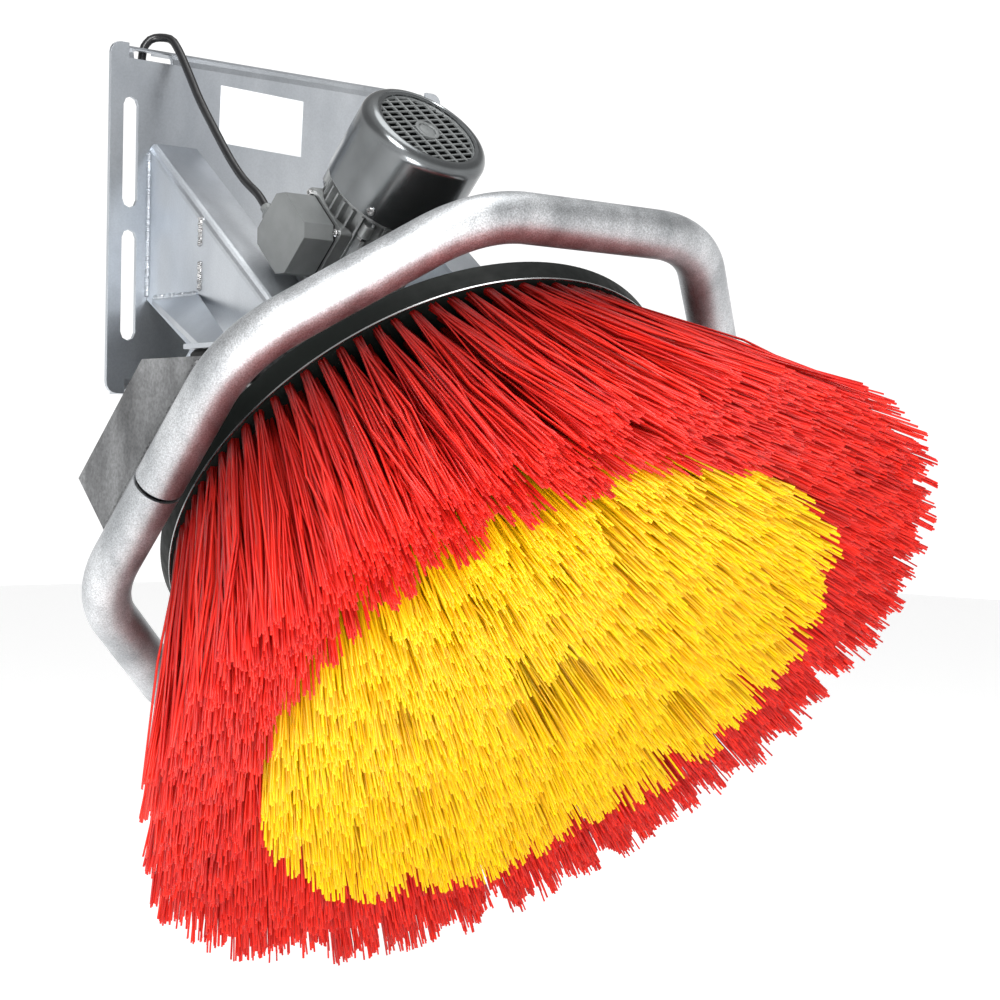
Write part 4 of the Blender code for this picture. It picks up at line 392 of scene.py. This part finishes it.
def bead(name, points, radius, matrix=None, slot=ZINC, spacing=0.0011):
    """A weld bead along a path, with the ripple and uneven width of a hand weld."""
    path = [Vector(points[0])]
    for a, b in zip(points, points[1:]):
        a, b = Vector(a), Vector(b)
        count = max(1, round((b - a).length / spacing))
        path += [a.lerp(b, (i + 1) / count) for i in range(count)]
    swell = [
        radius * (1 + RIPPLE * (-1) ** i * (i % 3 > 0) + random.uniform(-UNEVEN, UNEVEN))
        for i in range(len(path))
    ]
    swell[0] = swell[-1] = radius * 0.5
    return sweep(name, path, swell, 8, slot, "bracket", matrix)


def tube_line(x, side):
    """Places along the straight side of the ring, where a cheek's face meets the tube's back."""
    reach = x - side * RING_HALF_WIDTH
    height = math.sqrt(RADIUS_TUBE**2 - reach**2) - RING_DROP
    return [(x, 0.094, height), (x, -0.13, height)]


for side, label in ((-1, "left"), (1, "right")):
    bead(f"{label}_cheek_weld_inner", tube_line(side * 0.3215, side), 0.0030, HEAD)
    bead(f"{label}_cheek_weld_outer", tube_line(side * 0.3305, side), 0.0028, HEAD)
    arm_x = side * ARM_FACE
    bead(f"{label}_arm_root_weld", [(arm_x, -0.0308, 0.072), (arm_x, -0.0308, -0.082)], 0.0026, None, GALV)
    bead(f"{label}_outrigger_weld", [(arm_x, -0.046, -0.0835), (arm_x, -0.127, -0.0835)], 0.0028, None, GALV)
    for number, (low, high) in enumerate(((-0.081, -0.050), (-0.035, -0.004)), 1):
        line = [(side * PLUG_FACE, PLUG_Y, low), (side * PLUG_FACE, PLUG_Y, high)]
        bead(f"{label}_plug_weld_{number}", line, 0.0036, None, "bright_steel")


# Fasteners: each a hexagon or round head with softened edges
HEXAGON, ROUND = 6, 20


def head_screw(name, matrix, radius, height, sides, recess=0.0):
    """A screw head standing on its seat; sides is 6 for a hexagon head, more for a round one."""
    soft = height * 0.22
    top = [(radius, 0), (radius, height - soft), (radius - soft, height)]
    if recess:
        top += [(recess, height), (recess * 0.8, height * 0.5), (0, height * 0.5)]
    else:
        top += [(0, height)]
    vertices, faces = [], []
    for r, z in top[:-1]:
        angles = [math.tau * k / sides for k in range(sides)]
        vertices += [(r * math.cos(a), r * math.sin(a), z) for a in angles]
    for level in range(len(top) - 2):
        for k in range(sides):
            n = (k + 1) % sides
            a, b = level * sides, (level + 1) * sides
            faces.append((a + k, a + n, b + n, b + k))
    faces.append(tuple(range(sides))[::-1])
    last = (len(top) - 2) * sides
    faces.append(tuple(range(last, last + sides)))
    return make(name, vertices, faces, "bright_steel", "bracket", matrix, sides > HEXAGON)


OUTWARD = Matrix(((0, 0, -1, 0), (0, 1, 0, 0), (1, 0, 0, 0), (0, 0, 0, 1)))
FLIP = Matrix.Rotation(math.pi, 4, "X")
LID_SCREW_OFFSET, LID_FACE = 0.0312, 0.1150
BOX = HEAD @ Matrix.Translation((0, -0.139, GEARBOX_HEIGHT)) @ OUTWARD
for number in range(4):
    u, w = ((1, 1), (1, -1), (-1, -1), (-1, 1))[number]
    seat = BOX @ Matrix.Translation((u * LID_SCREW_OFFSET, w * LID_SCREW_OFFSET, LID_FACE))
    head_screw(f"lid_screw_{number + 1}", seat, 0.0040, 0.0042, ROUND, recess=0.0019)
    lug_turn = Matrix.Rotation(math.pi / 4 + number * math.pi / 2, 4, "Z")
    lug = MOTOR @ lug_turn @ Matrix.Translation((0.0515, 0, 0.0705)) @ Matrix.Translation((0.0008, 0, 0.0145))
    head_screw(f"flange_bolt_{number + 1}", lug @ FLIP, 0.0058, 0.0052, HEXAGON)
for number in range(3):
    turn = Matrix.Rotation(math.radians(100 + 120 * number), 4, "Z") @ Matrix.Translation((0.0688, 0, 0.2115))
    seat = MOTOR @ turn @ Matrix.Rotation(math.pi / 2, 4, "Y")
    head_screw(f"cover_screw_{number + 1}", seat, 0.0042, 0.0026, ROUND, recess=0.0018)


# Bosses on both ends of the motor barrel, each with its bolt, and a row of cast pads on the gearbox
BOSS_FROM_AXIS, BOSS_R, BOSS_LENGTH, BOLT_SEAT = 0.0600, 0.0072, 0.0150, 0.0151
PAD_R, PAD_LENGTH = 0.0075, 0.0050


def boss(name, matrix, radius, length):
    soft = radius * 0.16
    profile = [(radius, 0), (radius, length - soft), (radius - soft, length), (0.0002, length), (0.0002, 0)]
    return lathe(name, profile, ROUND, "cast_aluminium", "bracket", matrix)


for number in range(4):
    turn = Matrix.Rotation(math.radians(45 + 90 * number), 4, "Z")
    near = MOTOR @ turn @ Matrix.Translation((BOSS_FROM_AXIS, 0, 0.0960))
    far = MOTOR @ turn @ Matrix.Translation((BOSS_FROM_AXIS, 0, 0.1930)) @ FLIP
    boss(f"drive_boss_{number + 1}", near, BOSS_R, BOSS_LENGTH)
    boss(f"fan_boss_{number + 1}", far, BOSS_R, BOSS_LENGTH)
    raised = Matrix.Translation((0, 0, BOLT_SEAT))
    head_screw(f"drive_bolt_{number + 1}", near @ raised, 0.0052, 0.0046, HEXAGON)
    head_screw(f"fan_bolt_{number + 1}", far @ raised, 0.0052, 0.0046, HEXAGON)
    pad = HEAD @ Matrix.Rotation(math.radians(200 + 24 * number), 4, "Z")
    pad = pad @ Matrix.Translation((0.0535, 0, 0.217)) @ Matrix.Rotation(math.pi / 2, 4, "Y")
    boss(f"case_pad_{number + 1}", pad, PAD_R, PAD_LENGTH)
    head_screw(f"case_plug_{number + 1}", pad @ Matrix.Translation((0, 0, PAD_LENGTH)), 0.0046, 0.0030, HEXAGON)


# Fan grille: thin bars crossing in two layers, with a rim and a hub
def grille():
    pitch_u, pitch_w, bar_u, bar_w, rim = 0.0165, 0.0076, 0.0020, 0.0017, 0.0530
    vertices, faces = [], []

    def box(u0, u1, w0, w1, z0, z1):
        k = len(vertices)
        vertices.extend((u, w, z) for z in (z0, z1) for u, w in ((u0, w0), (u1, w0), (u1, w1), (u0, w1)))
        faces.extend(tuple(k + i for i in f) for f in (
            (3, 2, 1, 0), (4, 5, 6, 7), (0, 1, 5, 4), (1, 2, 6, 5), (2, 3, 7, 6), (3, 0, 4, 7)
        ))

    layers = ((True, pitch_w, bar_w, 0.2840, 0.2858), (False, pitch_u, bar_u, 0.2838, 0.2862))
    for along, pitch, bar, z0, z1 in layers:
        count = int(rim / pitch)
        for i in range(-count, count + 1):
            offset = i * pitch
            reach = math.sqrt(rim**2 - offset**2)
            if along:
                box(-reach, reach, offset - bar / 2, offset + bar / 2, z0, z1)
            else:
                box(offset - bar / 2, offset + bar / 2, -reach, reach, z0, z1)
    turn = Matrix.Rotation(math.radians(14), 4, "Z")
    make("fan_grille_bars", vertices, faces, "grey_plastic", "bracket", MOTOR @ turn, False, ("fan_grille",))
    outer = [(0.0545, 0.2834), (0.0545, 0.2866), (0.0520, 0.2866), (0.0512, 0.2834)]
    lathe("fan_grille_rim", outer, 96, "grey_plastic", "bracket", MOTOR)
    ring = [(0.0135, 0.2830), (0.0135, 0.2870), (0.0095, 0.2870), (0.0095, 0.2830)]
    lathe("fan_grille_hub_ring", rounded(ring, 0.0006), 48, "grey_plastic", "bracket", MOTOR)
    middle = [(0.0005, 0.2835), (0.0092, 0.2835), (0.0092, 0.2856), (0.0050, 0.2866), (0.0005, 0.2866)]
    lathe("fan_grille_hub", middle, 40, "grey_plastic", "bracket", MOTOR)


grille()


# Blank paper label on the plate's front
def paper_label(centre, width, height, tilt, thickness=0.0003):
    turn = Matrix.Translation(centre) @ Matrix.Rotation(tilt, 4, "Y")
    vertices = [(x, y, z) for y in (0, -thickness) for x, z in (
        (-width / 2, -height / 2), (width / 2, -height / 2), (width / 2, height / 2), (-width / 2, height / 2)
    )]
    faces = [(0, 1, 2, 3), (7, 6, 5, 4), (0, 4, 5, 1), (1, 5, 6, 2), (2, 6, 7, 3), (3, 7, 4, 0)]
    LOOKS["label_paper"] = plain("label_paper", (0.85, 0.86, 0.88), 0.35, 0.0, 300.0, 0.01, 0.02)
    label = make("blank_label", vertices, faces, None, "bracket", turn, False)
    label.data.materials.append(LOOKS["label_paper"])
    fix_normals(label)


paper_label((-0.0325, -0.0302, 0.1228), 0.111, 0.063, math.radians(2.0))


# Bristles
TUFT_HOLE_R = 0.0036
TUFT_SWING_SHARE, STRAND_SWING_SHARE = 0.8, 0.6
TUFT_SHIFT, TUFT_LIFT, STRAND_LIFT = 0.009, 0.022, 0.014
STRAY_SHARE, STRAY_FACTOR = 0.12, 2.2
BOW, BOW_INWARD, BEND_SHARE = 0.005, 0.006, 0.52
STRAND_THIN, STRAND_THICK = 0.0013, 0.0019
WIDTH_SHARES = (0.9, 1.0, 0.75)
SEATED = 0.001


def bristle_mesh(name, slot, tufts, per_tuft, node, root_shade_levels):
    """Every bristle as a three-sided strand of two lengths, from its tuft's hole to its own tip."""
    vertices, faces, tones_and_root_shade = [], [], []
    for base_r, base_a, tip_r0, tip_r1, depth, spread in tufts:
        tuft_swing = random.gauss(0, spread * TUFT_SWING_SHARE)
        tuft_shift = random.uniform(-TUFT_SHIFT, TUFT_SHIFT)
        tuft_lift = random.betavariate(1.2, 3.0) * TUFT_LIFT
        for _ in range(per_tuft):
            a0 = base_a + random.uniform(-1, 1) * TUFT_HOLE_R / base_r
            r0 = base_r + random.uniform(-TUFT_HOLE_R, TUFT_HOLE_R)
            r1 = min(tip_r1, max(tip_r0, random.uniform(tip_r0, tip_r1) + tuft_shift))
            stray = STRAY_FACTOR if random.random() < STRAY_SHARE else 1.0
            own_swing = random.gauss(0, spread * STRAND_SWING_SHARE) * stray
            a1 = base_a + (tuft_swing + own_swing) / max(r1, 0.08)
            z1 = -depth + tuft_lift + random.betavariate(1.2, 3.0) * STRAND_LIFT
            root = Vector((r0 * math.cos(a0), r0 * math.sin(a0), -DISC_T + SEATED))
            tip = Vector((r1 * math.cos(a1), r1 * math.sin(a1), z1))
            bow = Vector((random.gauss(0, BOW), random.gauss(0, BOW), 0))
            bow -= (root + tip).to_2d().to_3d().normalized() * BOW_INWARD
            middle = (root * (1 - BEND_SHARE) + tip * BEND_SHARE) + bow
            width = random.uniform(STRAND_THIN, STRAND_THICK)
            side = (tip - root).orthogonal().normalized()
            up = (tip - root).normalized().cross(side)
            turn = random.uniform(0, math.tau)
            start = len(vertices)
            for point, share in zip((root, middle, tip), WIDTH_SHARES):
                half = width * share
                for k in range(3):
                    t = turn + math.tau * k / 3
                    vertices.append(point + side * (half * math.cos(t)) + up * (half * math.sin(t)))
            tone = random.uniform(0.1, 1.0)
            # Beside each strand's random tone goes its painted shade, darkest at the root, one level for each
            # ring of three points
            tones_and_root_shade += [(tone, root_shade, 0, 1) for root_shade in root_shade_levels for _ in range(3)]
            for level in (0, 3):
                for k in range(3):
                    n = (k + 1) % 3
                    low = start + level
                    faces.append((low + k, low + n, low + 3 + n, low + 3 + k))
            faces.append((start + 6, start + 7, start + 8))
    mesh = bpy.data.meshes.new(name)
    mesh.from_pydata([tuple(v) for v in vertices], [], faces)
    mesh.transform(HEAD)
    mesh.update()
    mesh.shade_smooth()
    colours = mesh.attributes.new("tone", "FLOAT_COLOR", "POINT")
    colours.data.foreach_set("color", [c for t in tones_and_root_shade for c in t])
    mesh.materials.append(LOOKS[slot])
    obj = bpy.data.objects.new(name, mesh)
    bpy.context.scene.collection.objects.link(obj)
    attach(obj, "brush")
    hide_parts(node)


def rows(radii, spacing, tip_map, depth, spread):
    """Tufts in rings, each ring turned by half a step against the last."""
    tufts = []
    for index, base in enumerate(radii):
        count = round(math.tau * base / spacing)
        low, high = tip_map(base)
        for i in range(count):
            angle = math.tau * (i + 0.5 * (index % 2)) / count
            tufts.append((base, angle, low, high, depth, spread))
    return tufts


def red_tip(base):
    """The band of radii where the tips of a red ring of tufts end."""
    middle = 0.332 + (base - 0.200) / (0.276 - 0.200) * (0.413 - 0.332)
    return middle - 0.018, middle + 0.017


def yellow_tip(base):
    """The same for a yellow ring; the innermost leave a hollow."""
    middle = 0.072 + (base - 0.050) / (0.188 - 0.050) * (0.300 - 0.072)
    return max(0.052, middle - 0.020), middle + 0.018


FULL = 1.0
TUFT_SPACING = 0.0193
RED_ROWS = [0.276, 0.257, 0.238, 0.219, 0.200]
YELLOW_ROWS = [0.184, 0.165, 0.146, 0.127, 0.108, 0.089, 0.070, 0.052]
# The last argument of each bristle_mesh call is the painted shade at a strand's root, middle and tip
red_tufts = rows(RED_ROWS, TUFT_SPACING, red_tip, 0.3175, 0.010)
bristle_mesh("red_bristles", "red_bristle", red_tufts, int(24 * FULL), "outer_bristles", (0.1, 0.8, 1.0))
yellow_tufts = rows(YELLOW_ROWS, TUFT_SPACING, yellow_tip, 0.3245, 0.013)
bristle_mesh(
    "yellow_bristles", "yellow_bristle", yellow_tufts, int(28 * FULL), "inner_bristles", (0.0, 0.42, 1.0)
)


# Lead: over the plate's top edge into the pan, coiled three times, with a bare end
def head_point(x, y, z):
    return HEAD @ Vector((x, y, z))


BOX_REACH, GLAND_LENGTH, GLAND_RUN = 0.0343, 0.026, 0.0198
gland = head_point(-0.134, -0.124, GEARBOX_HEIGHT + BOX_REACH + GLAND_LENGTH)
gland_way = (head_point(0, 0, 1) - head_point(0, 0, 0)).normalized()
route = [gland, gland + gland_way * GLAND_RUN] + [Vector(p) for p in (
    (-0.1358, -0.149, 0.0372), (-0.1368, -0.125, 0.0605), (-0.1397, -0.100, 0.0925),
    (-0.1437, -0.076, 0.1270), (-0.1451, -0.058, 0.1548), (-0.1460, -0.046, 0.1730),
    (-0.1468, -0.034, 0.1889), (-0.1486, -0.023, 0.1987), (-0.1593, -0.0100, 0.2000),
    (-0.1680, -0.0067, 0.1930), (-0.1730, -0.0065, 0.1780), (-0.1730, -0.0075, 0.1350),
    (-0.1640, -0.0090, 0.0800), (-0.1480, -0.0105, 0.0250), (-0.1310, -0.0125, -0.0250),
    (-0.1190, -0.0136, -0.0700),
)]
WIND, COIL_R, TURNS, COIL_STEPS = 0.0046, 0.050, 3.25, 150
CROSSING = 0.3


def ease(t):
    t = min(1.0, max(0.0, t))
    return t * t * (3 - 2 * t)


def coil_point(turn):
    radius = COIL_R + WIND * (1 - 2 * ease((turn - 0.85) / CROSSING) + 2 * ease((turn - 2.85) / CROSSING))
    depth = WIND * (-1 + 2 * ease((turn - 1.85) / CROSSING))
    angle = math.pi + math.tau * turn
    return COIL + Vector((radius * math.cos(angle), depth, radius * math.sin(angle)))


coil = [coil_point(TURNS * i / COIL_STEPS) for i in range(COIL_STEPS + 1)]
loose_end = Vector((COIL.x + 0.034, COIL.y + WIND, coil[-1].z))
lead_path = spline(route + [coil[0]], 0.006) + coil[1:] + [loose_end]
lead = sweep("lead", lead_path, LEAD_R, 16, "lead_jacket", "bracket", None, ("mains_cable", "cable_coil"))

# Camera at the photograph's place
AZ, EL, ROLL = math.radians(-41.24), math.radians(0.70), math.radians(0.99)
DISTANCE, FOCAL_PIXELS, OFF_X, OFF_Y = 2.20767, 2128.26, 0.08313, -0.030
SENSOR, PHOTO_PIXELS = 36, 1000
back = Vector((math.sin(AZ) * math.cos(EL), -math.cos(AZ) * math.cos(EL), math.sin(EL)))
right = Vector((math.cos(AZ), math.sin(AZ), 0))
up = back.cross(right)
right_r = right * math.cos(ROLL) + up * math.sin(ROLL)
up_r = up * math.cos(ROLL) - right * math.sin(ROLL)
spot = Vector(HEAD_PLACE) + back * DISTANCE + right_r * OFF_X + up_r * OFF_Y
camera_data = bpy.data.cameras.new("camera")
camera_data.sensor_width = SENSOR
camera_data.lens = SENSOR * FOCAL_PIXELS / PHOTO_PIXELS
camera = bpy.data.objects.new("camera", camera_data)
camera.matrix_world = Matrix.Translation(spot) @ Matrix((right_r, up_r, back)).transposed().to_4x4()
bpy.context.scene.collection.objects.link(camera)
bpy.context.scene.camera = camera
bpy.context.scene.view_settings.view_transform = "Standard"


# Lights, sky and floor
def area(name, place, target, size, power):
    data = bpy.data.lights.new(name, "AREA")
    data.shape, data.size, data.energy = "DISK", size, power
    obj = bpy.data.objects.new(name, data)
    obj.location = place
    obj.rotation_euler = (Vector(target) - Vector(place)).to_track_quat("-Z", "Y").to_euler()
    bpy.context.scene.collection.objects.link(obj)


area("key", (-2.2, -2.6, 2.6), (0, -0.3, -0.2), 1.4, 120)
area("top", (0.3, -0.8, 2.8), (0, -0.4, -0.2), 1.8, 26)
area("face", (-1.5, -2.3, -0.75), (0, -0.5, -0.45), 1.0, 46)

# The sky's brightness by height, and a dimmer side that keeps the galvanised plate from glaring
SKY_LOW, SKY_HIGH = (0.35, 0.35, 0.35, 1), (0.9, 0.9, 0.9, 1)
SKY_STOPS = [(0.28, 0.35), (0.40, 1.1), (0.62, 1.1), (0.74, 0.38), (0.88, 0.38)]
DIM_WAY, DIM_RANGE = (0.659, -0.752, 0), (0.15, 0.85, 1.0, 0.88)
world = bpy.data.worlds.new("studio")
bpy.context.scene.world = world
world.use_nodes = True
tree = world.node_tree
sky = tree.nodes["Background"]
coords = tree.nodes.new("ShaderNodeTexCoord")
split = tree.nodes.new("ShaderNodeSeparateXYZ")
ramp = tree.nodes.new("ShaderNodeValToRGB")
shift = tree.nodes.new("ShaderNodeMath")
shift.operation = "MULTIPLY_ADD"
shift.inputs[1].default_value = shift.inputs[2].default_value = 0.5
facing = tree.nodes.new("ShaderNodeVectorMath")
facing.operation = "DOT_PRODUCT"
facing.inputs[1].default_value = DIM_WAY
dimmer = tree.nodes.new("ShaderNodeMapRange")
for socket, value in zip(list(dimmer.inputs)[1:5], DIM_RANGE):
    socket.default_value = value
for source, target in (
    (coords.outputs["Generated"], split.inputs[0]), (split.outputs[2], shift.inputs[0]),
    (shift.outputs[0], ramp.inputs[0]), (ramp.outputs[0], sky.inputs[0]),
    (coords.outputs["Generated"], facing.inputs[0]), (facing.outputs["Value"], dimmer.inputs[0]),
    (dimmer.outputs[0], sky.inputs[1]),
):
    tree.links.new(source, target)
ramp.color_ramp.elements[0].color = SKY_LOW
ramp.color_ramp.elements[1].color = SKY_HIGH
for place, value in SKY_STOPS:
    ramp.color_ramp.elements.new(place).color = (value, value, value, 1)

FLOOR_HALF, FLOOR_Z, FLOOR_GLOW = 9, -0.95, 0.38
corners = [(FLOOR_HALF * x, FLOOR_HALF * y, FLOOR_Z) for x, y in ((-1, -1), (1, -1), (1, 1), (-1, 1))]
floor_mesh = bpy.data.meshes.new("floor")
floor_mesh.from_pydata(corners, [], [(0, 1, 2, 3)])
floor = bpy.data.objects.new("floor", floor_mesh)
floor_look = Look("floor", (0.92, 0.92, 0.92), 0.7)
floor_look.bsdf.inputs["Emission Color"].default_value = (1, 1, 1, 1)
floor_look.bsdf.inputs["Emission Strength"].default_value = FLOOR_GLOW
floor_mesh.materials.append(floor_look.mat)
bpy.context.scene.collection.objects.link(floor)
